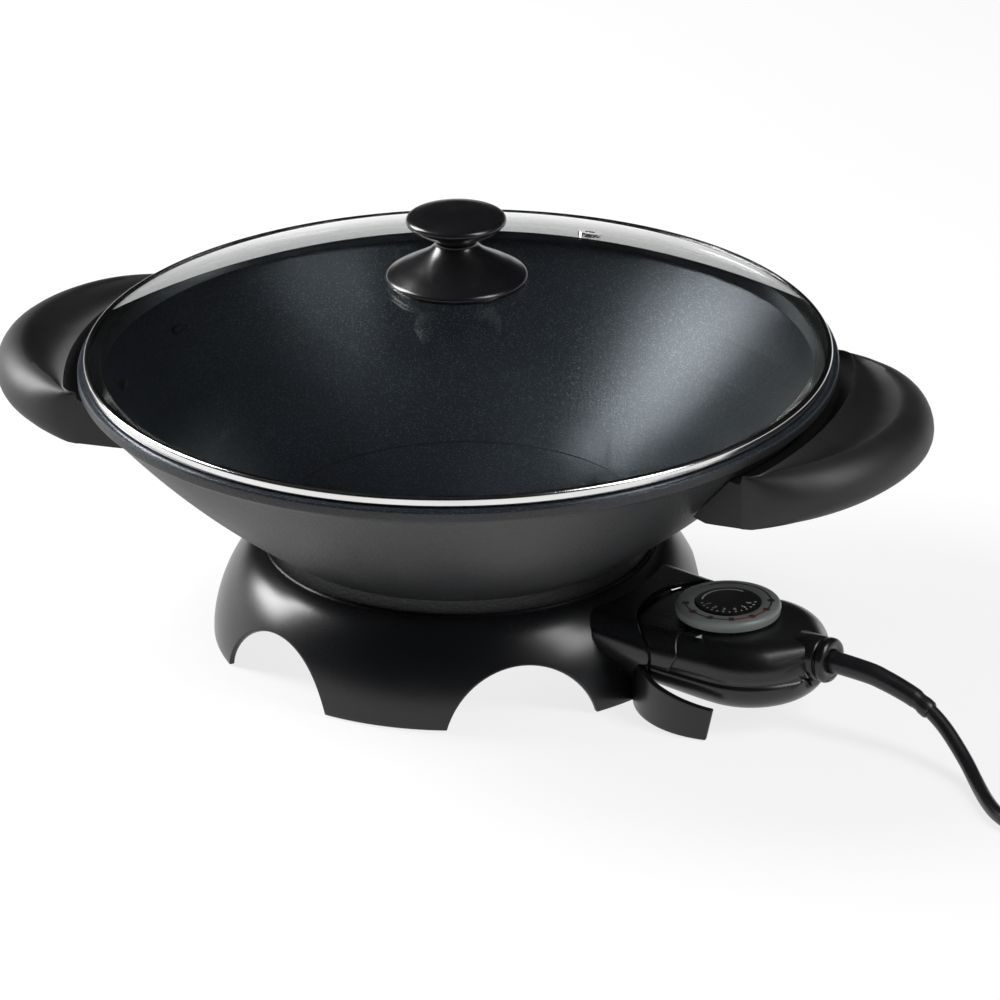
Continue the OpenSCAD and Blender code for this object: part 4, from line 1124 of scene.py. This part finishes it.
@dataclass
class Base:
    """Flared skirt on five feet, with its shelf, its hood over the socket and the cradle's two arms."""

    lip_radius: float = 96.5
    lip: float = 48.3
    feet_radius: float = 121.5
    lift: float = 0.6
    wall: float = 2.5
    arches: tuple[float, ...] = (-104.7, -40.3, 40.3, 104.7, 180.0)
    feet: tuple[float, ...] = (-72.5, 72.5, 142.35, -142.35)
    arch_radius: float = 38.0
    arch_top: float = 29.3
    dial_out: float = 155.5
    mouth_radius: float = 43.6
    hood_half: float = 39.0
    hood_foot: float = 19.0
    hood_top: float = 47.0
    hood_slope: float = 0.071
    hood_edge: float = 12.0
    cradle_out: float = 156.4
    cradle_radius: float = 46.2
    cradle_height: float = 16.0
    cradle_tip: Point = (71.0, 66.6)
    cradle_wall: float = 2.8
    rows: int = 26

    def curve(self, t: float) -> Point:
        """Follows the skirt's profile.

        Args:
            t: parameter, 0 at the lip and 1 at the foot.

        Returns:
            (radius, height).
        """
        a, b = (self.lip_radius, self.lip), (self.lip_radius + 11.5, self.lip - 1)
        c, d = (self.feet_radius + 0.5, 20.0), (self.feet_radius, self.lift)
        w = ((1 - t) ** 3, 3 * t * (1 - t) ** 2, 3 * t * t * (1 - t), t**3)
        return tuple(sum(k * p[i] for k, p in zip(w, (a, b, c, d))) for i in (0, 1))

    def end_of(self, offset: float) -> float:
        """Where the skirt ends above an arch.

        Args:
            offset: angle from the arch's middle in degrees.

        Returns:
            The profile's parameter at the edge, 1 where there is no arch.
        """
        centre = self.arch_top - self.arch_radius
        low, high = 0.0, 1.0
        for _ in range(30):
            t = (low + high) / 2
            r, z = self.curve(t)
            if (r * math.sin(math.radians(offset))) ** 2 + (z - centre) ** 2 < self.arch_radius**2:
                high = t
            else:
                low = t
        return high

    def columns(self) -> list[tuple[float, float]]:
        """Places the skirt's columns, closer together at the corners of the arches.

        Returns:
            Each column's azimuth and the profile's parameter where it ends.
        """
        centre = self.arch_top - self.arch_radius
        half_arch = math.sqrt(self.arch_radius**2 - (self.lift - centre) ** 2)
        corner = math.degrees(math.asin(half_arch / self.feet_radius))
        made = []
        for k, arch in enumerate(self.arches):
            following = self.arches[(k + 1) % len(self.arches)] + (360 if k == len(self.arches) - 1 else 0)
            foot = following - arch - 2 * corner
            steps = max(16, round(foot * 1.2))
            for i in range(36):
                offset = -corner * math.cos(math.pi * i / 36)
                made.append((CONTROL_AZIMUTH + arch + offset, self.end_of(offset)))
            made += [(CONTROL_AZIMUTH + arch + corner + foot * i / steps, 1.0) for i in range(steps)]
        return made

    def hood_line(self, x: float) -> float:
        """Finds the hood's top.

        Args:
            x: place along the hood.

        Returns:
            The top's height there.
        """
        return self.hood_top - self.hood_slope * (x - 78.0)

    def hood_width(self, x: float, z: float) -> float:
        """Finds the hood's flank.

        Args:
            x: place along the hood.
            z: height.

        Returns:
            Half the hood's width there.
        """
        tangent, foot_height = 6.9, self.lift + 2
        middle, side = self.hood_line(x) - self.hood_edge, self.hood_half - self.hood_edge
        if z >= middle - tangent:
            return side + math.sqrt(max(self.hood_edge**2 - (z - middle) ** 2, 0.0))
        full = side + math.sqrt(self.hood_edge**2 - tangent**2)
        return self.hood_foot + (full - self.hood_foot) * (z - foot_height) / (middle - tangent - foot_height)

    def build(self) -> None:
        """Builds all pieces of the base."""
        self._skirt()
        self._shelf()
        self._hood()
        for side in (-1, 1):
            self._cradle_arm(side)
        self._posts()

    def _skirt(self) -> None:
        """The flared wall with its arches."""
        bm = bmesh.new()
        stations = []
        columns = self.columns()
        for azimuth, end in columns + columns[:1]:
            column = [self.curve(end * j / self.rows) for j in range(self.rows + 1)]
            stations.append([tuple(polar(r, azimuth, z)) for r, z in column])
        loft(bm, stations, closed=False, capped=False)
        bmesh.ops.remove_doubles(bm, verts=bm.verts[:], dist=1e-3)
        bmesh.ops.recalc_face_normals(bm, faces=bm.faces[:])
        flip_outwards(bm)
        back = TURN_OUT.inverted()
        inside = [f for f in bm.faces if self._in_hood(back @ f.calc_center_median())]
        bmesh.ops.delete(bm, geom=inside, context="FACES")
        made = piece(bm, "base_skirt_wall", GLOSS_BASE, Body.WOK, replaces=["base_skirt"],
                     crease=60)
        wall(made, self.wall, 0.7)

    def _in_hood(self, spot: Vector) -> bool:
        """Tells where the skirt is open.

        Args:
            spot: a point of the skirt, with +X along the hood.

        Returns:
            Whether it lies in the hollow of the hood.
        """
        inset = 1.2
        return (spot.x > 0 and spot.z < self.hood_line(spot.x) - inset
                and abs(spot.y) < self.hood_width(spot.x, spot.z) - inset)

    def _shelf(self) -> None:
        """Ring shelf under the pan's foot ring and the floor that its screws hold."""
        lip, shelf = self.lip, self.lip - 3.8
        bm = bmesh.new()
        spun(bm, [(self.lip_radius - 0.2, lip - 0.6), (self.lip_radius - 0.9, lip + 0.1),
                  (self.lip_radius - 2.2, lip - 0.3), (93.8, lip - 0.3), (93.8, shelf), (89.0, shelf),
                  (89.0, 37.0), (63.0, 37.0), (63.0, 34.5), (91.0, 34.5), (91.0, shelf - 2.5),
                  (self.lip_radius - 1.0, shelf - 2.5)], 180, closed=True)
        piece(bm, "base_shelf", GLOSS_BASE, Body.WOK, crease=40)

    def _hood_section(self) -> list[Point]:
        """Outline of the hood across, from its left foot to its right.

        Returns:
            Points of (sideways, height at the hood's root).
        """
        half, edge = self.hood_half, self.hood_edge
        middle = Vector((half - edge, self.hood_top - edge))
        foot = Vector((self.hood_foot, self.lift + 2))
        ahead = middle - foot
        turn = math.degrees(math.atan2(ahead.y, ahead.x) - math.asin(edge / ahead.length)) - 90
        crown = arc(tuple(middle), edge, turn, 90, 14)
        flank = [tuple(foot + (Vector(crown[0]) - foot) * i / 5) for i in range(5)]
        right = [(self.hood_foot, self.lift), *flank, *crown, *[((half - edge) * (1 - i / 6), self.hood_top)
                                                                for i in range(1, 6)]]
        return [(-y, z) for y, z in right] + [(0.0, self.hood_top)] + list(reversed(right))

    def _hood(self) -> None:
        """Hood from the skirt to the mouth round the control, its flanks sloping in to the table."""
        first = self.lip_radius - 8
        stations = []
        for j in range(29):
            t = j / 28
            ring = []
            for y, high in self._hood_section():
                last = self.dial_out - math.sqrt(self.mouth_radius**2 - y * y)
                root = max(first, self._skirt_out(high, y))
                x = root + max(last - root, 0.05) * t
                rise = (high - self.lift) / (self.hood_top - self.lift)
                z = self.lift + (self.hood_line(x) - self.lift) * rise
                ring.append((x, y, z))
            stations.append(ring)
        bm = bmesh.new()
        loft(bm, stations, closed=False, capped=False)
        flip_outwards(bm, Vector((125, 0, 10)))
        made = piece(bm, "socket_hood", GLOSS_BASE, Body.WOK, out=True, crease=50)
        wall(made, self.wall, 0.6)

    def _skirt_out(self, z: float, y: float) -> float:
        """Finds the skirt's outer face from within, so that the hood starts inside its wall.

        Args:
            z: height.
            y: sideways place.

        Returns:
            How far out the face lies there, less a little.
        """
        low, high = 0.0, 1.0
        for _ in range(24):
            t = (low + high) / 2
            low, high = (t, high) if self.curve(t)[1] > z else (low, t)
        r = self.curve(low)[0] - 1.4
        return math.sqrt(max(r * r - y * y, 0.0))

    def _cradle_arm(self, side: int) -> None:
        """One arm of the cradle, taller where it leaves the hood.

        Args:
            side: -1 for the right arm and 1 for the left, seen outwards.
        """
        radius = self.cradle_radius
        far = 180 - math.degrees(math.asin(22.0 / radius))
        low_tip, high_tip = self.cradle_tip
        tip = self.cradle_out + radius * math.cos(math.radians(low_tip))
        stations = []
        for j in range(37):
            u = j / 36
            x = self.cradle_out + radius * math.cos(math.radians(low_tip + (far - low_tip) * u))
            rise = min(1.0, max(0.0, (140 - x) / 22))
            top = self.lift + self.cradle_height + 0.18 * (tip - x) + 20 * (1 - math.sqrt(1 - rise**2))
            top = min(top, self.hood_line(x) - 7)
            ring = []
            for i in range(13):
                lean = low_tip + (high_tip - low_tip) * i / 12
                angle = math.radians(lean + (far - lean) * u)
                ring.append((self.cradle_out + radius * math.cos(angle), side * radius * math.sin(angle),
                             self.lift + (top - self.lift) * i / 12))
            stations.append(ring)
        bm = bmesh.new()
        loft(bm, stations, closed=False, capped=False)
        flip_outwards(bm, Vector((self.cradle_out, 0, 10)))
        name = "cradle_arm_right" if side < 0 else "cradle_arm_left"
        made = piece(bm, name, GLOSS_BASE, Body.WOK, out=True, crease=50)
        wall(made, self.cradle_wall, 0.6)

    def _posts(self) -> None:
        """Hollow posts that hold the rubber pads in the feet."""
        bm = bmesh.new()
        for foot in self.feet:
            spot = polar(self.feet_radius - 10, CONTROL_AZIMUTH + foot)
            spun(bm, [(4.1, 0.6), (5.1, 0.6), (5.5, 1.0), (5.5, 6.6), (0, 6.6), (0, 3.8), (4.1, 3.8)], 40,
                 closed=True, centre=(spot.x, spot.y))
        piece(bm, "foot_posts", GLOSS_BASE, Body.WOK)


def flip_outwards(bm: bmesh.types.BMesh, inside: Vector | None = None) -> None:
    """Turns an open shell's faces away from a point inside it.

    Args:
        bm: the shell.
        inside: the point; a point on the axis at each face's height where it is None.
    """
    votes = 0
    for face in bm.faces:
        middle = face.calc_center_median()
        source = inside if inside is not None else Vector((0, 0, middle.z))
        votes += 1 if face.normal.dot(middle - source) > 0 else -1
    if votes < 0:
        bmesh.ops.reverse_faces(bm, faces=bm.faces[:])


# ---------------------------------------------------------------- lid


@dataclass
class Lid:
    """Domed glass with its steel rim and knob."""

    rim_radius: float = 180.0
    seat: float = 142.3
    rise: float = 36.0
    glass: float = 3.0
    sheet: float = 0.6
    wrap: float = 2.6
    skirt_inset: float = 8.5
    skirt_depth: float = 8.0
    foot_radius: float = 34.0
    cap_radius: float = 24.0
    knob_height: float = 34.0

    def __post_init__(self) -> None:
        """Works out the dome."""
        self.glass_radius = self.rim_radius - self.sheet - 0.2
        self.glass_low = self.seat + self.sheet
        self.dome_radius = (self.glass_radius**2 + self.rise**2) / (2 * self.rise)
        self.top = self.glass_low + self.glass + self.rise

    def dome(self, r: float) -> float:
        """Finds the glass's outer face.

        Args:
            r: distance from the lid's axis.

        Returns:
            The face's height there.
        """
        return self.top - self.dome_radius + math.sqrt(self.dome_radius**2 - r * r)

    def build(self) -> None:
        """Builds all pieces of the lid."""
        steps, bore = 40, 4.0
        reach = [self.glass_radius * i / steps for i in range(steps + 1)]
        top = [(r, self.dome(r)) for r in reach]
        under = [(r, z - self.glass) for r, z in reversed(top)]
        bm = bmesh.new()
        spun(bm, [(bore, self.dome(bore) - self.glass), (bore, self.dome(bore)), *top[1:], *under[:-1]], 240,
             closed=True)
        piece(bm, "lid_dome", LID_GLASS, Body.LID, replaces=["lid_glass"], crease=60)
        self._rim()
        self._knob()

    def _rim(self) -> None:
        """Rolled steel rim with the skirt that hangs in the pan."""
        inner = self.rim_radius - self.skirt_inset
        edge = self.rim_radius - self.wrap
        crown = self.dome(edge) + self.sheet
        bm = bmesh.new()
        low = self.seat - self.skirt_depth
        spun(bm, [(inner - 0.6, low), (inner - 0.1, low - 0.3), (inner, low), (inner, self.seat - 0.1),
                  (inner + 0.4, self.seat),
                  *arc((self.rim_radius - 1.2, self.seat + 1.2), 1.2, -90, 0, 5),
                  *arc((self.rim_radius - 1.6, crown - 1.5), 1.6, 0, 85, 6),
                  (edge, crown), (edge, crown - 0.5), (self.rim_radius - self.sheet, crown - 1.2),
                  (self.rim_radius - self.sheet, self.glass_low), (inner, self.glass_low),
                  (inner - 0.6, self.seat + 0.2)], 240, closed=True)
        piece(bm, "lid_rim_band", CHROME, Body.LID, replaces=["lid_rim"], crease=40)

    def _knob(self) -> None:
        """Flared foot and round grip."""
        seat, r = self.top + 0.75, self.foot_radius
        waist = self.top + 0.5 + 18.8
        outer = [(0, seat), (11, seat), (12, self.dome(14) + 1), (r - 5, self.dome(r - 5) + 0.3),
                 *arc((r - 2.2, self.dome(r) + 2.6), 2.2, -80, 60, 8)]
        slope = flow([outer[-1], (r - 6, self.dome(r) + 7.4), (r - 12, self.dome(r) + 10.6),
                      (14.5, waist - 5.5), (10.8, waist - 2.0), (10, waist)], 6)
        bm = bmesh.new()
        spun(bm, [*outer, *slope[1:], (0, waist)], 128)
        piece(bm, "knob_flare", KNOB, Body.LID, replaces=["knob_foot"], crease=50)
        top, c = self.top + 0.5 + self.knob_height, self.cap_radius
        under = flow([(9.6, waist + 0.2), (12.5, waist + 2.4), (17.5, waist + 5.2), (c - 2.2, top - 7.4),
                      (c - 0.3, top - 5.6), (c, top - 4.2), (c - 1.0, top - 2.7), (c - 4, top - 1.6),
                      (c - 10, top - 0.6), (0.5, top)], 6)
        bm = bmesh.new()
        spun(bm, [(0, waist), (8, waist), *under, (0, top)], 128)
        piece(bm, "knob_top", KNOB, Body.LID, replaces=["knob_grip"], crease=50)


# ---------------------------------------------------------------- control


@dataclass
class Control:
    """Plug-in thermostat control: head round the dial, neck in the hood, tongue with the contacts, collar."""

    dial_out: float = 155.5
    head_out: float = 168.3
    head_radius: float = 37.3
    low: float = 12.5
    seam: float = 28.0
    top: float = 46.2
    end: float = 205.6
    end_radius: float = 11.5
    shell: float = 2.0
    lead_height: float = 36.0
    mouth_radius: float = 42.7
    neck_half: float = 38.3
    neck_low: float = 15.5
    neck_top: float = 42.1
    neck_edge: float = 12.0
    tongue: tuple[float, float, float] = (19.2, 22.3, 39.7)
    hood_root: float = 100.0
    split: float = 0.15

    def _rim(self, a: float, lift: float) -> Point3:
        """Point of the head where its surface faces a direction, as the hull of a round body and a flat end.

        Args:
            a: the direction in plan, in degrees from straight out.
            lift: the direction's angle above level in degrees.

        Returns:
            The point.
        """
        turn, high = math.radians(a), math.radians(lift)
        face = Vector((math.cos(high) * math.cos(turn), math.cos(high) * math.sin(turn), math.sin(high)))
        r = self.head_radius
        if lift > 80:
            reach, z = (r - 14) * (90 - lift) / 10 + 2.4 * (90 - lift) / 10, self.top - 0.6 * (90 - lift) / 10
        elif lift >= 0:
            reach, z = r - 14 + 14 * math.cos(high), self.top - 14.5 + 14 * math.sin(high)
        else:
            reach = (r - 13) * min(1.0, (90 + lift) / 12) + 13 * math.cos(high)
            z = self.low + 13 + 13 * math.sin(high)
        head = Vector((self.head_out + reach * math.cos(turn), reach * math.sin(turn), z))
        slant = math.hypot(face.y, face.z) or 1.0
        end = Vector((self.end, self.end_radius * face.y / slant,
                      self.lead_height - 3 + self.end_radius * face.z / slant))
        return tuple(end if face.x > 0.02 and end.dot(face) > head.dot(face) else head)

    def _line(self, x: float, z: float) -> float:
        """Carries a height from the head to the neck, which is lower.

        Args:
            x: place along the neck.
            z: the height on the head.

        Returns:
            The height on the neck.
        """
        root = 113.0
        t = min(1.0, max(0.0, (x - root) / (self.head_out - root)))
        if z > self.seam:
            high = self.neck_top + (self.top - self.neck_top) * t
            return self.seam + (z - self.seam) * (high - self.seam) / (self.top - self.seam)
        deep = self.neck_low + (self.low - self.neck_low) * eased(t)
        return self.seam - (self.seam - z) * (self.seam - deep) / (self.seam - self.low)

    def build(self) -> None:
        """Builds both shells with the neck, the tongue and the collar, and the print on the top shell."""
        whole = bmesh.new()
        lifts = [-90 + 180 * i / 44 for i in range(45)]
        stations = []
        for side in (-1, 1):
            flank = []
            for j in range(14):
                ring = []
                for x, y, z in (self._rim(90.0 * side, lift) for lift in lifts):
                    front = self._neck_front(y)
                    place = front + (self.head_out - front) * j / 14
                    ring.append((place, y, self._line(place, z)))
                flank.append(ring)
            round_end = [[self._rim(-90.0 + 180 * j / 57, lift) for lift in lifts] for j in range(58)]
            stations += flank + round_end if side < 0 else list(reversed(flank))
        loft(whole, stations, closed=False, capped=False)
        bmesh.ops.remove_doubles(whole, verts=whole.verts[:], dist=1e-3)
        bmesh.ops.recalc_face_normals(whole, faces=whole.faces[:])
        flip_outwards(whole, Vector((self.head_out, 0, self.seam)))
        self._tongue(whole)
        self._collar(whole)
        lower = whole.copy()
        self._neck(whole)
        cut_at(whole, self.seam + self.split / 2, keep_above=True)
        cut_at(lower, self.seam - self.split / 2, keep_above=False)
        top = piece(whole, "control_upper", GLOSS_CONTROL, Body.CONTROL,
                    replaces=["control_top"], out=True, crease=50)
        wall(top, self.shell, even=False)
        bottom = piece(lower, "control_lower", GLOSS_CONTROL, Body.CONTROL,
                       replaces=["control_bottom"], out=True, crease=50)
        wall(bottom, self.shell, even=False)
        self._pointer()

    def _neck(self, bm: bmesh.types.BMesh) -> None:
        """Sleeve of the upper shell that carries on the hood's flanks and ends in a slanting step."""
        outline = rounded_box(self.neck_half, self.seam - 13, self.neck_top - 0.3, self.neck_edge, 10)
        stations = []
        for j in range(13):
            ring = []
            for y, z in outline:
                front, back = self._neck_front(y), 150.6 - 0.55 * abs(z - 35)
                x = front + (back - front) * j / 12
                ring.append((x, y, self._line(x, self.seam + (z - self.seam) * (
                    (self.top - self.seam) / (self.neck_top - self.seam) if z > self.seam else 1.0))))
            stations.append(ring)
        loft(bm, stations, closed=True, capped=False)

    def _tongue(self, bm: bmesh.types.BMesh) -> None:
        """Tongue that goes inside the hood with the contacts."""
        half, low, high = self.tongue
        tongue = rounded_box(half, low, high, 2.5, 4)
        loft(bm, [[(x, y, z) for y, z in tongue] for x in (self.hood_root + 3, 118.0, 133.0)], closed=True,
             capped=False)

    def _neck_front(self, y: float) -> float:
        """Finds where the neck starts, just inside the round of the hood's mouth.

        Args:
            y: sideways place.

        Returns:
            How far out the neck starts there.
        """
        widest = 42.0
        return self.dial_out - math.sqrt(self.mouth_radius**2 - min(abs(y), widest) ** 2)

    def _collar(self, bm: bmesh.types.BMesh) -> None:
        """Stepped collar round the lead's exit."""
        profile = [(9.5, -9), (10.6, -8), (10.6, 3.6), (10.2, 4.4), (9.3, 4.7), (9.3, 5.6), (10.3, 5.8),
                   (10.9, 6.5), (10.9, 8.6), (10.2, 9.9), (8.6, 10.4), (5.5, 10.4)]
        part = bmesh.new()
        spun(part, profile, 64)
        place = Matrix.Translation((self.end - 1.6, 0, self.lead_height))
        add(bm, part, place @ Matrix.Rotation(math.pi / 2, 4, "Y"))

    def _pointer(self) -> None:
        """White pointer triangle printed beside the dial."""
        near, far, half, thick, sunk, turn = 26.9, 30.6, 1.5, 0.12, 0.62, -84
        bm = bmesh.new()
        bm.faces.new([bm.verts.new(p) for p in ((near, 0, 0), (far, half, 0), (far, -half, 0))])
        extruded = bmesh.ops.extrude_face_region(bm, geom=bm.faces[:])["geom"]
        upper = [v for v in extruded if isinstance(v, bmesh.types.BMVert)]
        bmesh.ops.translate(bm, vec=(0, 0, thick), verts=upper)
        bmesh.ops.recalc_face_normals(bm, faces=bm.faces[:])
        place = Matrix.Translation((self.dial_out, 0, self.top - sunk))
        bmesh.ops.transform(bm, matrix=place @ Matrix.Rotation(math.radians(turn), 4, "Z"), verts=bm.verts[:])
        piece(bm, "pointer_mark", PRINT_WHITE, Body.CONTROL, out=True)


def rounded_box(half: float, low: float, high: float, edge: float, steps: int) -> list[Point]:
    """Outline of a box with round corners, from its lower right corner anticlockwise.

    Args:
        half: half its width.
        low: its lower side.
        high: its upper side.
        edge: radius of its corners.
        steps: chords per corner.

    Returns:
        Points of (sideways, height).
    """
    side, parts = half - edge, 8
    return [*arc((side, low + edge), edge, -90, 0, steps),
            *arc((side, high - edge), edge, 0, 90, steps),
            *[(side * (1 - 2 * i / parts), high) for i in range(1, parts)],
            *arc((-half + edge, high - edge), edge, 90, 180, steps),
            *arc((-half + edge, low + edge), edge, 180, 270, steps),
            *[(side * (2 * i / parts - 1), low) for i in range(1, parts)]]


def cut_at(bm: bmesh.types.BMesh, z: float, keep_above: bool) -> None:
    """Cuts a shape at a height and keeps one side, left open.

    Args:
        bm: the shape.
        z: the height.
        keep_above: whether the upper side stays.
    """
    bmesh.ops.bisect_plane(bm, geom=bm.verts[:] + bm.edges[:] + bm.faces[:], plane_co=(0, 0, z),
                           plane_no=(0, 0, 1), clear_outer=not keep_above, clear_inner=keep_above)


@dataclass
class Dial:
    """Temperature dial: grey ring with a printed track, and a black disc with numbers."""

    out: float = 155.5
    low: float = 46.5
    height: float = 5.6
    radius: float = 25.2
    cap_radius: float = 15.8
    print_depth: float = 0.06
    track_radius: float = 20.4
    marks: int = 7
    first_mark: float = -141.0
    mark_step: float = 29.5
    numbers: int = 6

    def build(self) -> None:
        """Builds the ring, the disc and their print."""
        r, h = self.radius, self.height
        bm = bmesh.new()
        spun(bm, [(self.cap_radius - 3, h - 2.0), (3.2, h - 2.0), (3.2, 0.0), (r - 1.2, 0.0), (r - 0.5, 0.4),
                  *arc((r - 2.2, h - 2.4), 2.2, 0, 70, 8), (r - 5, h - 0.1), (self.cap_radius + 1.2, h - 0.1),
                  (self.cap_radius + 0.6, h - 0.35), (self.cap_radius + 0.05, h - 0.5),
                  (self.cap_radius + 0.02, h - 1.6)], 128, closed=True)
        self._place(bm)
        piece(bm, "dial_ring_body", DIAL_GREY, Body.DIAL, replaces=["dial_ring"], out=True)
        bm = bmesh.new()
        c = self.cap_radius
        spun(bm, [(0, h - 2), (c, h - 2), (c, h - 0.2), (c - 0.4, h + 0.12), (c - 1.2, h + 0.2),
                  (0, h + 0.2)], 96)
        self._place(bm)
        piece(bm, "dial_disc", DIAL_BLACK, Body.DIAL, replaces=["dial_cap"], out=True)
        self._track()
        self._numbers()

    def _place(self, bm: bmesh.types.BMesh) -> None:
        """Puts a shape built about the origin on the dial's axis.

        Args:
            bm: the shape.
        """
        bmesh.ops.translate(bm, vec=(self.out, 0, self.low), verts=bm.verts[:])

    def _sector(self, bm: bmesh.types.BMesh, inner: float, outer: float, start: float, end: float,
                z: float) -> None:
        """Thin printed band.

        Args:
            bm: the bmesh to add to.
            inner: inner radius.
            outer: outer radius.
            start: first angle in degrees.
            end: last angle in degrees.
            z: height of the printed surface.
        """
        steps = max(2, int(abs(end - start) / 3))
        stations = []
        for i in range(steps + 1):
            a = start + (end - start) * i / steps
            stations.append([tuple(polar(r, a, h)) for r, h in (
                (inner, z), (outer, z), (outer, z + self.print_depth), (inner, z + self.print_depth))])
        loft(bm, stations, closed=True, capped=True)

    def _track(self) -> None:
        """Prints a dark track with marks tinted red on the ring, and a white arc and dots on the disc."""
        ring, disc, middle = self.height - 0.12, self.height + 0.17, self.track_radius
        spots = [self.first_mark + self.mark_step * i for i in range(self.marks)]
        bm = bmesh.new()
        self._sector(bm, middle - 0.4, middle + 0.4, self.first_mark, 150, ring)
        for a in spots:
            self._sector(bm, middle - 1.8, middle + 1.5, a - 3.6, a + 3.6, ring + 0.02)
        self._place(bm)
        piece(bm, "dial_track", PRINT_DARK, Body.DIAL, out=True)
        bm = bmesh.new()
        self._sector(bm, middle - 0.5, middle + 0.5, -48, 6, ring + 0.05)
        for a in spots:
            self._sector(bm, middle + 0.5, middle + 1.3, a - 2.4, a + 2.4, ring + 0.05)
        self._place(bm)
        piece(bm, "dial_track_marks", PRINT_RED, Body.DIAL, out=True)
        bm = bmesh.new()
        self._sector(bm, 12.1, 12.9, 89, 206, disc)
        for a in (-134 + 160 * i / 12 for i in range(13)):
            self._sector(bm, 12.2, 13.3, a - 1.6, a + 1.6, disc)
        self._place(bm)
        piece(bm, "dial_disc_marks", PRINT_WHITE, Body.DIAL, out=True)

    def _numbers(self) -> None:
        """Numbers from 1 round the disc's half towards the front."""
        first, span, circle, size = -127, 146, 10.0, 3.6
        bm = bmesh.new()
        for i in range(self.numbers):
            angle = first + span * i / (self.numbers - 1)
            data = bpy.data.curves.new("number", "FONT")
            data.body = str(i + 1)
            data.size = size
            data.align_x, data.align_y = "CENTER", "CENTER"
            data.extrude = self.print_depth / 2
            text = bpy.data.objects.new("number", data)
            bpy.context.scene.collection.objects.link(text)
            bpy.context.view_layer.update()
            mesh = bpy.data.meshes.new_from_object(text.evaluated_get(bpy.context.evaluated_depsgraph_get()))
            part = bmesh.new()
            part.from_mesh(mesh)
            spot = polar(circle, angle, self.height + 0.2)
            turn = Matrix.Rotation(math.radians(angle + 90), 4, "Z")
            add(bm, part, Matrix.Translation(spot) @ turn)
            bpy.data.objects.remove(text)
            bpy.data.curves.remove(data)
            bpy.data.meshes.remove(mesh)
        self._place(bm)
        piece(bm, "dial_numbers", PRINT_WHITE, Body.DIAL, out=True)


# ---------------------------------------------------------------- nodes that keep their own shape

KEPT: dict[str, Finish] = {
    "heating_element": STEEL, "terminal_pins": STEEL, "terminal_insulators": CERAMIC, "terminal_guard": STEEL,
    "handle_screws": STEEL, "heat_shield": ALUMINIUM, "base_screws": STEEL, "rubber_feet": RUBBER,
    "vent_eyelet": CHROME, "knob_screw": STEEL, "knob_washer": STEEL, "knob_seal": SILICONE,
    "contact_block": PHENOLIC_BROWN, "contact_sleeves": BRASS, "earth_contact": BRASS, "probe_rod": STEEL,
    "thermostat_switch": BRASS, "control_screws": STEEL, "dial_spindle": STEEL, "cord_tie": RUBBER,
    "plug_body": PLUG, "plug_pins": STEEL, "plug_earth_clips": STEEL,
}


def dress_kept(nodes: dict[str, bpy.types.Object]) -> None:
    """Gives the frame's own nodes their finishes.

    Args:
        nodes: the frame's nodes by name.
    """
    for name, finish in KEPT.items():
        mesh = nodes[name].data
        mesh.materials.clear()
        mesh.materials.append(finish.material())


def main() -> None:
    """Builds the scene round the frame."""
    logging.basicConfig(level=logging.INFO, format="%(name)s: %(message)s")
    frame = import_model()
    Studio().build()
    dress_kept(frame["nodes"])
    Lead().build()
    pan = Pan()
    pan.build()
    Handle(pan).build("handle_scoop_right", "handle_right", 0.0)
    Handle(pan).build("handle_scoop_left", "handle_left", 180.0)
    Base().build()
    Lid().build()
    Control().build()
    Dial().build()


if __name__ == "__main__":
    main()
